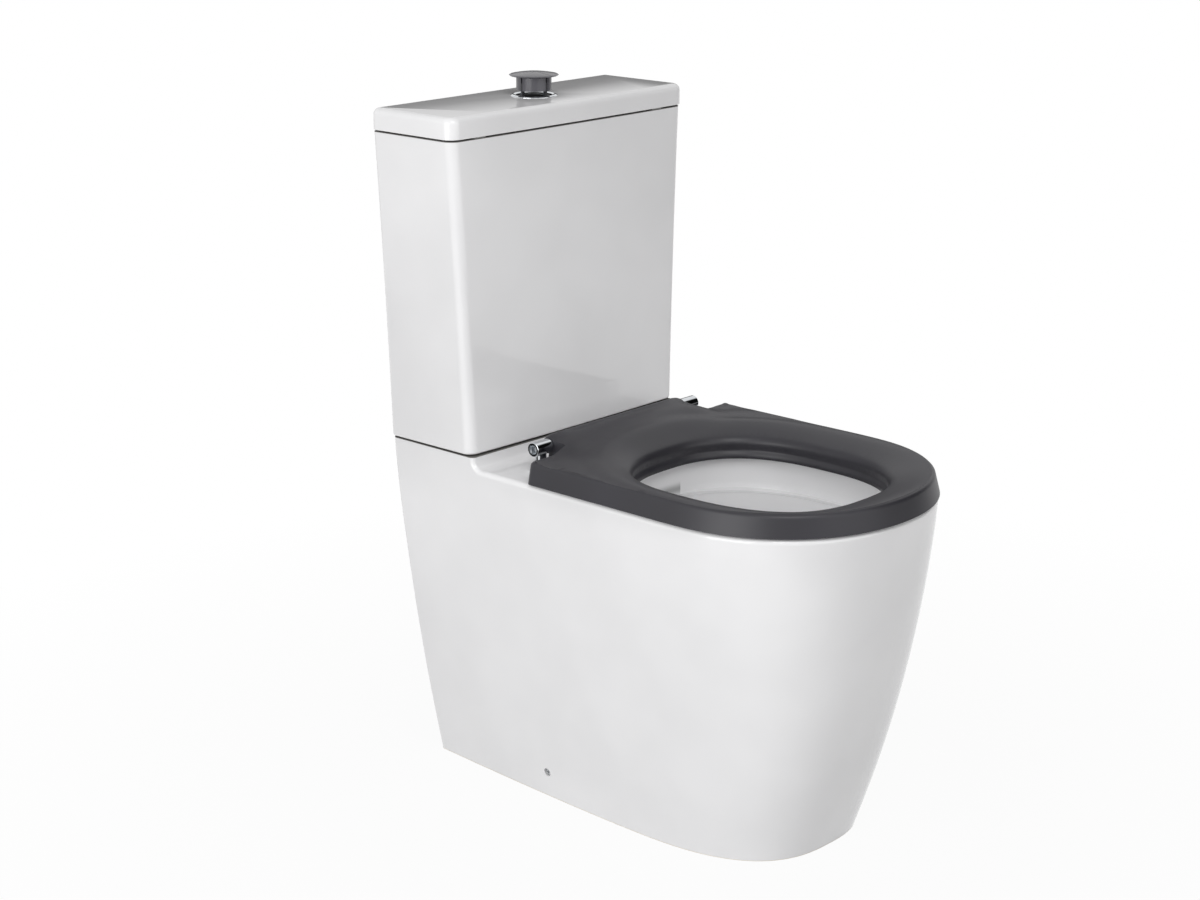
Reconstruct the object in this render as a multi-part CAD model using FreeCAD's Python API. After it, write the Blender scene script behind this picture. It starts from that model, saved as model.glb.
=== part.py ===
import FreeCAD, Part
import math
import os

# Close coupled toilet: a back-to-wall pan with a straight skirt, a slim cistern on its plinth, a single
# raised-height seat ring on two barrel hinges, and a raised dual flush button that works the flush valve.
# Millimetres, +Z up. X runs across, the wall is the plane Y = WALL_Y and the front of the pan points to -Y.
# The origin lies on the floor at the middle of the whole suite's width and depth.
# Depths below are given from the wall, so a depth d lies at Y = WALL_Y - d.

V = FreeCAD.Vector
X_AXIS = V(1, 0, 0)
Y_AXIS = V(0, 1, 0)
Z_AXIS = V(0, 0, 1)

# ---- pan -------------------------------------------------------------------------------------------
SUITE_DEPTH = 658.0          # wall to the seat's front tip
RIM_Z = 433.0                # top of the rim and deck
PLINTH_RISE = 15.0           # the cistern's plinth above the deck
PLINTH_DEPTH = 144.0         # wall to the plinth's front face
PLINTH_FILLET = 12.0
BASE_BACK_HALF = 114.0       # half widths at the floor and at the rim, at the wall and at the widest
BASE_SIDE_HALF = 134.0
TOP_BACK_HALF = 187.0
TOP_SIDE_HALF = 189.0
BASE_NOSE_DEPTH = 367.0      # where the straight sides end and the nose begins
TOP_NOSE_DEPTH = 476.0
BASE_TIP_DEPTH = 561.0
RIM_SETBACK = 2.5            # seat's tip to the rim's tip
BASE_SQUARENESS = 2.7        # exponent of the nose's superellipse
TOP_SQUARENESS = 2.15
BACK_SWELL = 0.37            # how far the skirt bellies out between floor and rim
NOSE_SWELL = 0.62
BACK_CORNER_R = 7.0
RIM_EDGE_R = 6.0
PAN_WALL = 13.0

RIM_OPEN_HALF = 141.0        # opening inside the rim
RIM_OPEN_MID = 446.0
RIM_TIP_WIDTH = 42.5         # width of the rim at its tip
RIM_UNDERCUT = 9.0           # how far the seat's opening stands in front of the rim's at the back
SHELF_DROP = 52.0            # rim to the flushing shelf
SHELF_WIDTH = 13.0
BOWL_WALL = 11.0
SUMP_HALF = 46.0
SUMP_MID = 400.0
SUMP_FLOOR_Z = 156.0

TRAP_BORE_R = 36.0
TRAP_WALL = 9.0
TRAP_WEIR_Z = 307.0
TRAP_UP_DEPTH = 330.0        # where the passage turns up, reaches the weir, leaves it and turns level
TRAP_WEIR_FRONT = 270.0
TRAP_WEIR_BACK = 200.0
TRAP_DOWN_DEPTH = 150.0
PASSAGE_HALF = 30.0          # flush passage from the cistern towards the bowl
PASSAGE_RISE = 28.0
MOUTH_HALF = 15.0            # its low mouth in the back of the well
MOUTH_HEIGHT = 8.0
OUTLET_Z = 185.0
SPIGOT_R = 51.0
SPIGOT_BORE_R = 42.0
SPIGOT_LENGTH = 55.0
SPIGOT_SETBACK = 28.0        # wall to the spigot's end

# ---- seat ------------------------------------------------------------------------------------------
SEAT_GAP = 1.5               # rim to the seat's outer skirt
SEAT_TOP_Z = 461.0
SEAT_OVERHANG = 2.0          # seat's widest edge beyond the rim
SEAT_BACK_HALF = 189.5
SEAT_DRAFT = 6.0             # how far the skirt leans out from top to bottom
SEAT_SETBACK = 24.0          # hinge line to the seat's back edge
SEAT_NOSE_DEPTH = 470.0
SEAT_SQUARENESS = 2.12
SEAT_TIP_DRAFT = 5.0
SEAT_CORNER_R = 9.0
SEAT_EDGE_R = 5.0            # soft edge round the top
SEAT_OPEN_HALF = 131.0
SEAT_OPEN_MID = 443.0
OPENING_SQUARENESS = 2.6
TOP_POINTS = 48              # points round each ring of the carved top
SEAT_OPEN_REACH = 83.0       # hinge line to the back of the opening
SEAT_TIP_WIDTH = 66.0        # width of the ring at its tip
SEAT_LIP_Z = 422.0           # bottom of the wall round the opening
SEAT_WALL = 5.0
DISH_DROP = 14.0             # crest of the top down to the opening's edge
DISH_CURVE = 1.3             # 1 is a straight slope from the crest, 2 a parabola
ROLL_R = 7.0
DISH_INSET = 22.0            # skirt's bottom edge to the crest, at the sides, back and tip
DISH_BACK_INSET = 23.0
DISH_TIP_INSET = 15.0
HUMP_HALF = 152.0            # half width of the raised back at its foot
HUMP_FLANK = 40.0            # how far it slopes at each end
HUMP_LENGTH = 80.0           # hinge line to the front of its slope
BUFFER_R = 7.0
BUFFER_SOCKET = 3.0
BUFFER_BACK_X = 165.0
BUFFER_BACK_REACH = 89.0
BUFFER_FRONT_X = 104.0
BUFFER_FRONT_DEPTH = 600.0

HINGE_DEPTH = 211.0
HINGE_Z = 463.5
KNUCKLE_R = 13.0
KNUCKLE_HALF = 123.0
BARREL_R = 9.0
BARREL_LENGTH = 27.0
BARREL_GAP = 0.5
BARREL_SOCKET_R = 6.2
PIN_R = 4.0
PIN_REACH = 26.0             # how far each hinge pin enters the seat
RUNNING_GAP = 0.05
STUD_R = 4.0
STUD_HOLE_R = 7.0
STUD_GRIP = 12.0

# ---- cistern ---------------------------------------------------------------------------------------
CISTERN_GAP = 1.8            # joint between pan and cistern, filled by rubber pads
CISTERN_TOP_Z = 837.0
CISTERN_LOW_HALF = 190.0
CISTERN_MID_HALF = 198.0
CISTERN_TOP_HALF = 208.5
CISTERN_LOW_DEPTH = 145.0
CISTERN_TOP_DEPTH = 140.0
CISTERN_BOW = 2.0            # the front face's gentle bulge
CISTERN_CORNER_R = 14.0
CISTERN_WALL = 9.0
CISTERN_FLOOR = 12.0
CISTERN_FOOT_R = 4.0
BACK_TRIM = 0.3              # ground off the back so that it is flat
BOLT_HALF_SPACING = 78.0
BOLT_R = 4.0
BOLT_HOLE_R = 6.5
BOLT_DEPTH = 72.0            # centre line of everything that stands in the cistern

LID_GAP = 2.2
LID_HEIGHT = 26.3
LID_OVERHANG = 1.6
LID_TOP_R = 8.5
LID_CROWN = 10.0             # thickness of its top
LIP_GAP = 2.5                # locating lip to the cistern's inner wall
LIP_WALL = 6.0
LIP_REACH = 8.0

# ---- flush button ----------------------------------------------------------------------------------
RING_R = 29.2
RING_BORE_R = 23.4
RING_SLEEVE_WALL = 1.4
RING_FLANGE = 1.6
LID_HOLE_CLEARANCE = 0.7
RING_DROP = 24.0
CAP_R = 31.0
CAP_DOME = 4.0
CAP_LIP = 0.9                # half the height of the cap's rounded edge
CAP_EDGE = 2.2
CAP_RIM_RISE = 25.5          # lid's top to the cap's rim
BUTTON_R = 22.0
BUTTON_WALL = 2.4
BUTTON_LIFT = 6.8            # lid's top to the barrel's bottom edge
BUTTON_SPLIT = 0.7
BUTTON_TRAVEL = 6.0
RIB_WIDTH = 1.6
RIB_FLARE = 3.4              # how much wider a rib stands at its foot
RIB_CLEARANCE = 0.5
ROD_R = 2.5
ROD_X = 12.0
ROD_OFFSET = 8.0             # each rod stands this far before or behind the centre line

# ---- flush valve -----------------------------------------------------------------------------------
VALVE_TAIL_R = 29.0
VALVE_BORE_R = 24.0
VALVE_HOLE_CLEARANCE = 2.5
VALVE_FLANGE_R = 45.0
VALVE_FLANGE = 6.0
VALVE_TAIL_DROP = 20.0
VALVE_SEAT = 5.0
VALVE_WINDOW = 42.0
VALVE_NUT = 12.0
VALVE_NUT_R = 38.0
TOWER_R = 42.0
TOWER_WALL = 3.0
TOWER_TOP_Z = 700.0
OVERFLOW_R = 13.0
OVERFLOW_WALL = 2.0
OVERFLOW_TOP_Z = 712.0
LEVER_PIVOT_Z = 732.0
LEVER_HALF_THICK = 2.5
LEVER_ROD_ARM = 13.0
LEVER_LIFT_ARM = 16.0
LEVER_WIDTH = 5.0
LEVER_PIN_R = 2.0

# ---- fill valve ------------------------------------------------------------------------------------
FILL_SIDE = 50.0             # fill valve's centre line to the cistern's foot at its side
INLET_R = 10.475             # outside of the G1/2 inlet thread
INLET_BORE_R = 7.0
INLET_DROP = 45.0
INLET_NUT = 10.0
INLET_RELIEF = 0.3           # the tail is this much thinner from the nut upwards
INLET_FLANGE = 8.825           # flange past the tail inside the cistern
FILL_TUBE_R = 10.0
FILL_TOP_Z = 690.0
FLOAT_R = 28.0
FLOAT_HEIGHT = 70.0
FLOAT_LOW_Z = 560.0
FILL_ARM = 48.0
FLOAT_ROD_OFFSET = 22.0
ARM_DROP = 14.3              # degrees below level with the float at rest
INLET_WASHER = 3.0

# ---- floor fixing ----------------------------------------------------------------------------------
SIDE_HOLE_DEPTH = 217.0
SIDE_HOLE_Z = 36.0
SIDE_HOLE_R = 5.5
BRACKET_PLATE = 5.0
BRACKET_WIDTH = 36.0
BRACKET_FOOT = 46.0
FLOOR_SCREW_R = 3.5
SIDE_SCREW_R = 2.25
BUSH_PROUD = 3.0             # how far the bushes stand out of the skirt's inside

WALL_Y = SUITE_DEPTH / 2
TOP_TIP_DEPTH = SUITE_DEPTH - RIM_SETBACK
RIM_OPEN_FRONT = TOP_TIP_DEPTH - RIM_TIP_WIDTH
SEAT_HALF = TOP_SIDE_HALF + SEAT_OVERHANG
SEAT_BACK_DEPTH = HINGE_DEPTH + SEAT_SETBACK
SEAT_OPEN_BACK = HINGE_DEPTH + SEAT_OPEN_REACH
SEAT_OPEN_FRONT = SUITE_DEPTH - SEAT_TIP_WIDTH
RIM_OPEN_BACK = SEAT_OPEN_BACK - RIM_UNDERCUT
DISH_HALF = SEAT_HALF - DISH_INSET
DISH_BACK = SEAT_BACK_DEPTH + DISH_BACK_INSET
DISH_FRONT = SUITE_DEPTH - DISH_TIP_INSET
HUMP_RISE = HINGE_Z + KNUCKLE_R - SEAT_TOP_Z
BUFFER_BACK_DEPTH = HINGE_DEPTH + BUFFER_BACK_REACH
FILL_X = FILL_SIDE - CISTERN_LOW_HALF
CLEAR = TOP_SIDE_HALF + 60   # half width that clears the whole suite
PLINTH_Z = RIM_Z + PLINTH_RISE
CISTERN_Z = PLINTH_Z + CISTERN_GAP
CISTERN_INSIDE_Z = CISTERN_Z + CISTERN_FLOOR
LID_Z = CISTERN_TOP_Z + LID_GAP
LID_TOP_Z = LID_Z + LID_HEIGHT
SEAT_Z = RIM_Z + SEAT_GAP
SHELF_Z = RIM_Z - SHELF_DROP
CAP_Z = LID_TOP_Z + CAP_RIM_RISE
BARREL_Z = LID_TOP_Z + BUTTON_LIFT
BARREL_INNER_X = KNUCKLE_HALF + BARREL_GAP
BARREL_MID_X = BARREL_INNER_X + BARREL_LENGTH / 2


# ---- shape helpers ---------------------------------------------------------------------------------
def at(depth):
    """Y of a depth measured from the wall."""
    return WALL_Y - depth


def box(x0, x1, d0, d1, z0, z1):
    return Part.makeBox(x1 - x0, d1 - d0, z1 - z0, V(x0, at(d1), z0))


def rod(r, x, depth, z0, z1):
    """Upright cylinder between two heights."""
    return Part.makeCylinder(r, z1 - z0, V(x, at(depth), z0), Z_AXIS)


def tube(r, bore, x, depth, z0, z1):
    return rod(r, x, depth, z0, z1).cut(rod(bore, x, depth, z0 - 1, z1 + 1))


def cross_rod(r, x0, x1, depth, z):
    """Cylinder along X."""
    return Part.makeCylinder(r, x1 - x0, V(x0, at(depth), z), X_AXIS)


def deep_rod(r, x, d0, d1, z):
    """Cylinder along Y."""
    return Part.makeCylinder(r, d1 - d0, V(x, at(d1), z), Y_AXIS)


def hexagon(r, x, depth, z0, z1):
    """Hexagonal prism whose corners lie on radius r."""
    points = [V(x + r * math.cos(k * math.pi / 3), at(depth) + r * math.sin(k * math.pi / 3), z0)
              for k in range(6)]
    return Part.Face(Part.makePolygon(points + points[:1])).extrude(V(0, 0, z1 - z0))


def wing_nut(x, depth, z0, hub, span, height):
    """Round hub with two flat wings."""
    body = rod(hub, x, depth, z0, z0 + height)
    return body.fuse(box(x - span, x + span, depth - 1.5, depth + 1.5, z0, z0 + height * 0.8))


def spun(profile, x, depth):
    """Solid of revolution about an upright axis from (radius, z) points."""
    points = [V(r, 0, z) for r, z in profile]
    face = Part.Face(Part.makePolygon(points + points[:1]))
    face.translate(V(x, at(depth), 0))
    return face.revolve(V(x, at(depth), 0), Z_AXIS, 360)


def curve(points):
    spline = Part.BSplineCurve()
    spline.interpolate(Points=points)
    return spline.toShape()


def ring(points):
    """Closed curve through the points, evenly spaced in its parameter so that rings loft cleanly."""
    spline = Part.BSplineCurve()
    spline.interpolate(Points=points, PeriodicFlag=True, Parameters=list(range(len(points) + 1)))
    return Part.Wire([spline.toShape()])


def power(value, exponent):
    return math.copysign(abs(value) ** exponent, value)


def blend(a, b, t):
    return a + (b - a) * t


def merged(shapes):
    """One solid out of several that overlap."""
    return shapes[0].fuse(shapes[1:]).removeSplitter()


def group(shapes):
    """Several separate solids of one kind, exported together."""
    return Part.makeCompound(shapes)


def mirrored(shape):
    """The shape and its mirror image across the suite's middle plane."""
    return [shape, shape.mirror(V(0, 0, 0), X_AXIS)]


def oval(half, back, front, mid, squareness, z):
    """Closed egg-shaped outline: two half superellipses that meet at the depth mid."""
    points = []
    for step in range(24):
        angle = math.pi * step / 12
        x = half * power(math.cos(angle), 2 / squareness)
        reach = front - mid if math.sin(angle) >= 0 else mid - back
        points.append(V(x, at(mid + reach * power(math.sin(angle), 2 / squareness)), z))
    return ring(points)


def seat_oval(grow, z):
    """The seat's opening, grown all round by a margin."""
    return oval(SEAT_OPEN_HALF + grow, SEAT_OPEN_BACK - grow, SEAT_OPEN_FRONT + grow, SEAT_OPEN_MID,
                OPENING_SQUARENESS, z)


# ---- pan -------------------------------------------------------------------------------------------
def swell(u, amount):
    """Rises from 0 to 1 with a belly, so the skirt leans in faster near the floor."""
    u = min(u, 1)
    return u + amount * u * (1 - u)


def nose_points(half, start, tip, squareness, z):
    """Points round the nose, from one side to the other, ends left out."""
    points = []
    for step in range(1, 12):
        angle = math.pi * step / 12
        x = half * power(math.cos(angle), 2 / squareness)
        points.append(V(x, at(start + (tip - start) * math.sin(angle) ** (2 / squareness)), z))
    return points


def d_outline(back_half, side_half, back, start, tip, squareness, corner, z):
    """D-shaped outline: straight back, nearly straight sides and a superellipse nose."""
    right = []
    for share in (0.0, 0.25, 0.5, 0.75, 1.0):
        depth = blend(back + corner, start, share)
        half = side_half - (side_half - back_half) * (1 - share) ** 1.5
        right.append(V(half, at(depth), z))
    left = [V(-p.x, p.y, z) for p in reversed(right)]
    edges = [curve(right + nose_points(side_half, start, tip, squareness, z) + left)]
    if corner > 0:
        inner = corner * (1 - math.sqrt(0.5))
        left_low = V(-back_half + corner, at(back), z)
        right_low = V(back_half - corner, at(back), z)
        edges.append(Part.Arc(left[-1], V(-back_half + inner, at(back + inner), z), left_low).toShape())
        edges.append(Part.makeLine(left_low, right_low))
        edges.append(Part.Arc(right_low, V(back_half - inner, at(back + inner), z), right[0]).toShape())
    else:
        edges.append(Part.makeLine(left[-1], right[0]))
    return Part.Wire(edges)


def skirt_widths(z):
    """Half widths of the skirt at one height: at the wall and at its widest."""
    u = min(z / RIM_Z, 1)
    return (blend(BASE_BACK_HALF, TOP_BACK_HALF, swell(u, BACK_SWELL)),
            blend(BASE_SIDE_HALF, TOP_SIDE_HALF, swell(u, NOSE_SWELL)))


def skirt_half(z, depth):
    """Half width of the skirt's outside at one height and depth along its straight side."""
    back_half, side_half = skirt_widths(z)
    start = blend(BASE_NOSE_DEPTH, TOP_NOSE_DEPTH, min(z / RIM_Z, 1))
    return side_half - (side_half - back_half) * (1 - depth / start) ** 1.5


def skirt_section(z, inset, back, corner):
    """Outline of the skirt at one height."""
    u = min(z / RIM_Z, 1)
    back_half, side_half = skirt_widths(z)
    start = blend(BASE_NOSE_DEPTH, TOP_NOSE_DEPTH, u)
    tip = blend(BASE_TIP_DEPTH, TOP_TIP_DEPTH, swell(u, NOSE_SWELL))
    squareness = blend(BASE_SQUARENESS, TOP_SQUARENESS, u)
    return d_outline(back_half - inset, side_half - inset, back, start, tip - inset, squareness, corner, z)


def pan_body():
    """Solid outer form: skirt, deck and the raised plinth under the cistern."""
    heights = [0, 90, 200, 310, RIM_Z - 40, PLINTH_Z]
    body = Part.makeLoft([skirt_section(z, 0, 0, BACK_CORNER_R) for z in heights], True, False)
    top = PLINTH_Z + 5
    front = SUITE_DEPTH + 100
    foot = V(-CLEAR, at(PLINTH_DEPTH), RIM_Z + PLINTH_FILLET)
    toe = V(-CLEAR, at(PLINTH_DEPTH + PLINTH_FILLET), RIM_Z)
    sag = PLINTH_FILLET * (1 - math.sqrt(0.5))
    middle = V(-CLEAR, at(PLINTH_DEPTH + sag), RIM_Z + sag)
    corners = [toe, V(-CLEAR, at(front), RIM_Z), V(-CLEAR, at(front), top), V(-CLEAR, at(PLINTH_DEPTH), top),
               foot]
    outline = Part.makePolygon(corners).Edges + [Part.Arc(foot, middle, toe).toShape()]
    cutter = Part.Face(Part.Wire(outline)).extrude(V(2 * CLEAR, 0, 0))
    body = body.cut(cutter)
    edges = [e for e in body.Edges
             if e.BoundBox.ZMin > RIM_Z - 1 and e.BoundBox.ZMax < RIM_Z + 1 and e.BoundBox.XLength > 200
             and e.BoundBox.YLength > 200]
    return body.makeFillet(RIM_EDGE_R, edges)


def pan_hollow():
    """Space inside the skirt, open to the floor and to the wall, with a higher pocket under the plinth."""
    ceiling = RIM_Z - PAN_WALL - 1
    heights = [-2, 90, 200, 310, ceiling]
    space = Part.makeLoft([skirt_section(z, PAN_WALL, -3, 0) for z in heights], True, False)
    pocket_half = TOP_BACK_HALF - PAN_WALL - 6
    pocket = box(-pocket_half, pocket_half, -3, PLINTH_DEPTH - PAN_WALL, ceiling - 5, PLINTH_Z - PAN_WALL - 1)
    return space.fuse(pocket)


def bowl_levels():
    """Heights and outlines of the bowl below the shelf: (z, half, back, front, mid)."""
    shelf = (SHELF_Z, RIM_OPEN_HALF - SHELF_WIDTH, RIM_OPEN_BACK + SHELF_WIDTH,
             RIM_OPEN_FRONT - SHELF_WIDTH, RIM_OPEN_MID)
    sump = (SUMP_FLOOR_Z + 34, SUMP_HALF, SUMP_MID - SUMP_HALF, SUMP_MID + SUMP_HALF, SUMP_MID)
    floor = (SUMP_FLOOR_Z, SUMP_HALF * 0.72, SUMP_MID - SUMP_HALF * 0.8, SUMP_MID + SUMP_HALF * 0.6, SUMP_MID)
    levels = [shelf]
    for share, spread in ((0.25, 0.86), (0.5, 0.62), (0.75, 0.31)):
        z = blend(shelf[0], sump[0], share)
        levels.append((z,) + tuple(blend(low, high, spread) for low, high in zip(sump[1:], shelf[1:])))
    return levels + [sump, floor]


def bowl_form(grow):
    """Bowl from the shelf down to the sump, grown by a wall thickness."""
    wires = [oval(half + grow, back - grow, front + grow, mid, 2.25, z)
             for z, half, back, front, mid in bowl_levels()]
    last = bowl_levels()[-1]
    if grow:
        wires.append(oval(last[1] + grow * 0.5, last[2] - grow * 0.5, last[3] + grow * 0.5, last[4], 2.25,
                          last[0] - grow))
    return Part.makeLoft(wires, True, False)


def rim_well(grow, z0, z1):
    """Upright-walled well inside the rim, above the shelf."""
    outline = oval(RIM_OPEN_HALF + grow, RIM_OPEN_BACK - grow, RIM_OPEN_FRONT + grow, RIM_OPEN_MID,
                   OPENING_SQUARENESS, z0)
    return Part.Face(outline).extrude(V(0, 0, z1 - z0))


def bent_path(points, radii):
    """Straight runs in the middle plane joined by tangent arcs, from (depth, z) corners."""
    corners = [V(0, at(d), z) for d, z in points]
    edges = []
    start = corners[0]
    for k, radius in enumerate(radii, 1):
        before = (corners[k] - corners[k - 1]).normalize()
        after = (corners[k + 1] - corners[k]).normalize()
        turn = before.getAngle(after)
        reach = radius * math.tan(turn / 2)
        first = corners[k] - before * reach
        last = corners[k] + after * reach
        inward = (after - before).normalize()
        centre = corners[k] + inward * (radius / math.cos(turn / 2))
        edges.append(Part.makeLine(start, first))
        edges.append(Part.Arc(first, centre - inward * radius, last).toShape())
        start = last
    edges.append(Part.makeLine(start, corners[-1]))
    return Part.Wire(edges)


def trapway(r, overrun):
    """Passage of radius r from the sump over the weir to the outlet."""
    low = OUTLET_Z + 5
    points = [(SUMP_MID, low), (TRAP_UP_DEPTH, low), (TRAP_WEIR_FRONT, TRAP_WEIR_Z),
              (TRAP_WEIR_BACK, TRAP_WEIR_Z), (TRAP_DOWN_DEPTH, OUTLET_Z),
              (SPIGOT_SETBACK - overrun, OUTLET_Z)]
    path = bent_path(points, [58, 55, 50, 58])
    ring = Part.Wire([Part.makeCircle(r, V(0, at(SUMP_MID), low), Y_AXIS)])
    return path.makePipeShell([ring], True, False)


def flush_passage(grow):
    """Channel from the cistern's outlet forward to a low mouth just above the bowl's shelf."""
    half = PASSAGE_HALF + grow
    low = SHELF_Z - grow
    channel = box(-half, half, BOLT_DEPTH - 26 - grow, RIM_OPEN_BACK - BOWL_WALL - 3 + grow, low,
                  SHELF_Z + PASSAGE_RISE + grow)
    mouth = MOUTH_HALF + grow
    return channel.fuse(box(-mouth, mouth, RIM_OPEN_BACK - BOWL_WALL - 8, RIM_OPEN_BACK + 6, low,
                            SHELF_Z + MOUTH_HEIGHT + grow))


def make_pan():
    outer = pan_body()
    shell = outer.cut(pan_hollow())
    bowl_outside = rim_well(BOWL_WALL, SHELF_Z - BOWL_WALL, RIM_Z - 3).fuse(bowl_form(BOWL_WALL))
    horn = rod(58, 0, BOLT_DEPTH, SHELF_Z - 4, PLINTH_Z - 2)
    spigot = deep_rod(SPIGOT_R, 0, SPIGOT_SETBACK, SPIGOT_SETBACK + SPIGOT_LENGTH, OUTLET_Z)
    inside = [bowl_outside, trapway(TRAP_BORE_R + TRAP_WALL, -2), flush_passage(9), horn, spigot]
    pan = shell.fuse([part.common(outer) for part in inside])
    well = rim_well(0, SHELF_Z - 0.5, RIM_Z + 5)
    recess = rod(49, 0, BOLT_DEPTH, PLINTH_Z - 25, PLINTH_Z + 2)
    inlet = rod(28, 0, BOLT_DEPTH, SHELF_Z + 10, PLINTH_Z)
    spigot_bore = deep_rod(SPIGOT_BORE_R, 0, SPIGOT_SETBACK - 5, SPIGOT_SETBACK + 40, OUTLET_Z)
    cuts = [well, bowl_form(0), trapway(TRAP_BORE_R, 3), flush_passage(0), recess, inlet, spigot_bore]
    for x in (-BOLT_HALF_SPACING, BOLT_HALF_SPACING):
        cuts.append(rod(BOLT_HOLE_R, x, BOLT_DEPTH, PLINTH_Z - 30, PLINTH_Z + 5))
    cuts.append(rod(INLET_R + 16, FILL_X, BOLT_DEPTH, PLINTH_Z - 30, PLINTH_Z + 5))
    for x in (-BARREL_MID_X, BARREL_MID_X):
        cuts.append(rod(STUD_HOLE_R, x, HINGE_DEPTH, RIM_Z - 30, RIM_Z + 5))
    cuts.append(cross_rod(SIDE_HOLE_R, -200, -90, SIDE_HOLE_DEPTH, SIDE_HOLE_Z))
    cuts.append(cross_rod(SIDE_HOLE_R, 90, 200, SIDE_HOLE_DEPTH, SIDE_HOLE_Z))
    pan = pan.cut(cuts)
    return pan


def make_floor_brackets():
    """Angle brackets screwed to the floor inside the skirt, one each side."""
    face = skirt_half(0, SIDE_HOLE_DEPTH - BRACKET_WIDTH / 2) - PAN_WALL - 1
    near = SIDE_HOLE_DEPTH - BRACKET_WIDTH / 2
    far = SIDE_HOLE_DEPTH + BRACKET_WIDTH / 2
    inner = face - BRACKET_PLATE
    height = SIDE_HOLE_Z + 14
    bracket = box(inner, face, near, far, 0, height)
    bracket = bracket.fuse(box(face - BRACKET_FOOT, face, near, far, 0, BRACKET_PLATE))
    for depth in (near, far - 4):
        web = side_web(inner - 24, inner + 1, BRACKET_PLATE - 1, height - 6, depth, depth + 4)
        bracket = bracket.fuse(web)
    boss_end = skirt_half(SIDE_HOLE_Z, SIDE_HOLE_DEPTH) - PAN_WALL - BUSH_PROUD
    bracket = bracket.fuse(cross_rod(7.5, inner + 1, boss_end, SIDE_HOLE_DEPTH, SIDE_HOLE_Z))
    side_hole = cross_rod(SIDE_SCREW_R + 0.1, inner - 5, boss_end + 1, SIDE_HOLE_DEPTH, SIDE_HOLE_Z)
    floor_hole = rod(FLOOR_SCREW_R, face - BRACKET_FOOT + 12, SIDE_HOLE_DEPTH, -1, BRACKET_PLATE + 1)
    bracket = bracket.cut(side_hole).cut(floor_hole)
    return group(mirrored(bracket.removeSplitter()))


def side_web(x_low, x_high, z_low, z_high, d0, d1):
    """Triangular stiffening web between a foot and an upright plate."""
    corners = [V(x_low, at(d1), z_low), V(x_high, at(d1), z_low), V(x_high, at(d1), z_high)]
    return Part.Face(Part.makePolygon(corners + corners[:1])).extrude(V(0, d1 - d0, 0))


def make_side_bushes():
    """Plastic bushes that line the skirt's fixing holes."""
    outside = skirt_half(SIDE_HOLE_Z, SIDE_HOLE_DEPTH)
    inner = outside - PAN_WALL - BUSH_PROUD
    bush = cross_rod(SIDE_HOLE_R - 0.1, inner, outside - 5, SIDE_HOLE_DEPTH, SIDE_HOLE_Z)
    bush = bush.cut(cross_rod(SIDE_SCREW_R + 0.3, inner - 1, outside, SIDE_HOLE_DEPTH, SIDE_HOLE_Z))
    return group(mirrored(bush))


def make_side_screws():
    """Pan-head screws through the bushes into the floor brackets."""
    seat = skirt_half(SIDE_HOLE_Z, SIDE_HOLE_DEPTH) - 5
    screw = cross_rod(SIDE_SCREW_R, seat - 24, seat + 1, SIDE_HOLE_DEPTH, SIDE_HOLE_Z)
    head = cross_rod(4.8, seat, seat + 2.6, SIDE_HOLE_DEPTH, SIDE_HOLE_Z)
    head = head.makeFillet(1.2, [e for e in head.Edges if e.BoundBox.XMin > seat + 2.5])
    slots = box(seat + 1.4, seat + 4, SIDE_HOLE_DEPTH - 2.4, SIDE_HOLE_DEPTH + 2.4, SIDE_HOLE_Z - 0.5,
                SIDE_HOLE_Z + 0.5)
    slots = slots.fuse(box(seat + 1.4, seat + 4, SIDE_HOLE_DEPTH - 0.5, SIDE_HOLE_DEPTH + 0.5,
                           SIDE_HOLE_Z - 2.4, SIDE_HOLE_Z + 2.4))
    return group(mirrored(screw.fuse(head).cut(slots)))


# ---- seat ------------------------------------------------------------------------------------------
def seat_section(share, inset, z):
    """Outline of the seat's skirt: share 0 at its bottom edge, 1 where the soft band starts."""
    lean = SEAT_DRAFT * share + inset
    tip = SUITE_DEPTH - SEAT_TIP_DRAFT * share - inset
    back_half = SEAT_BACK_HALF - (SEAT_DRAFT - SEAT_HALF + SEAT_BACK_HALF) * share - inset
    return d_outline(back_half, SEAT_HALF - lean, SEAT_BACK_DEPTH + inset, SEAT_NOSE_DEPTH, tip,
                     SEAT_SQUARENESS, max(SEAT_CORNER_R - inset, 2), z)


def smooth_step(t):
    """Goes from 0 to 1 with level ends."""
    t = min(max(t, 0), 1)
    return t * t * (3 - 2 * t)


def hump_rise(x, depth):
    """How far the raised back stands above the dished top at one place."""
    across = smooth_step((HUMP_HALF - abs(x)) / HUMP_FLANK)
    along = smooth_step(1 - (depth - HINGE_DEPTH) / HUMP_LENGTH)
    return HUMP_RISE * across * along


def top_ring(share, fall):
    """Ring of the seat's top: share 0 round the opening, 1 along the crest, more outside it."""
    points = []
    half = blend(SEAT_OPEN_HALF, DISH_HALF, share)
    back = SEAT_OPEN_MID - blend(SEAT_OPEN_BACK, DISH_BACK, share)
    front = blend(SEAT_OPEN_FRONT, DISH_FRONT, share) - SEAT_OPEN_MID
    for step in range(TOP_POINTS):
        angle = 2 * math.pi * step / TOP_POINTS
        x = half * power(math.cos(angle), 2 / OPENING_SQUARENESS)
        reach = front if math.sin(angle) >= 0 else back
        depth = SEAT_OPEN_MID + reach * power(math.sin(angle), 2 / OPENING_SQUARENESS)
        rise = hump_rise(x, depth) if 0 < share < 3 else 0
        points.append(V(x, at(depth), SEAT_TOP_Z - fall + rise))
    return ring(points)


def dish_depth(share):
    """How far the dish lies below the seat's crest, at a share of the way out from the opening."""
    return DISH_DROP * (1 - share) ** DISH_CURVE


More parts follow.
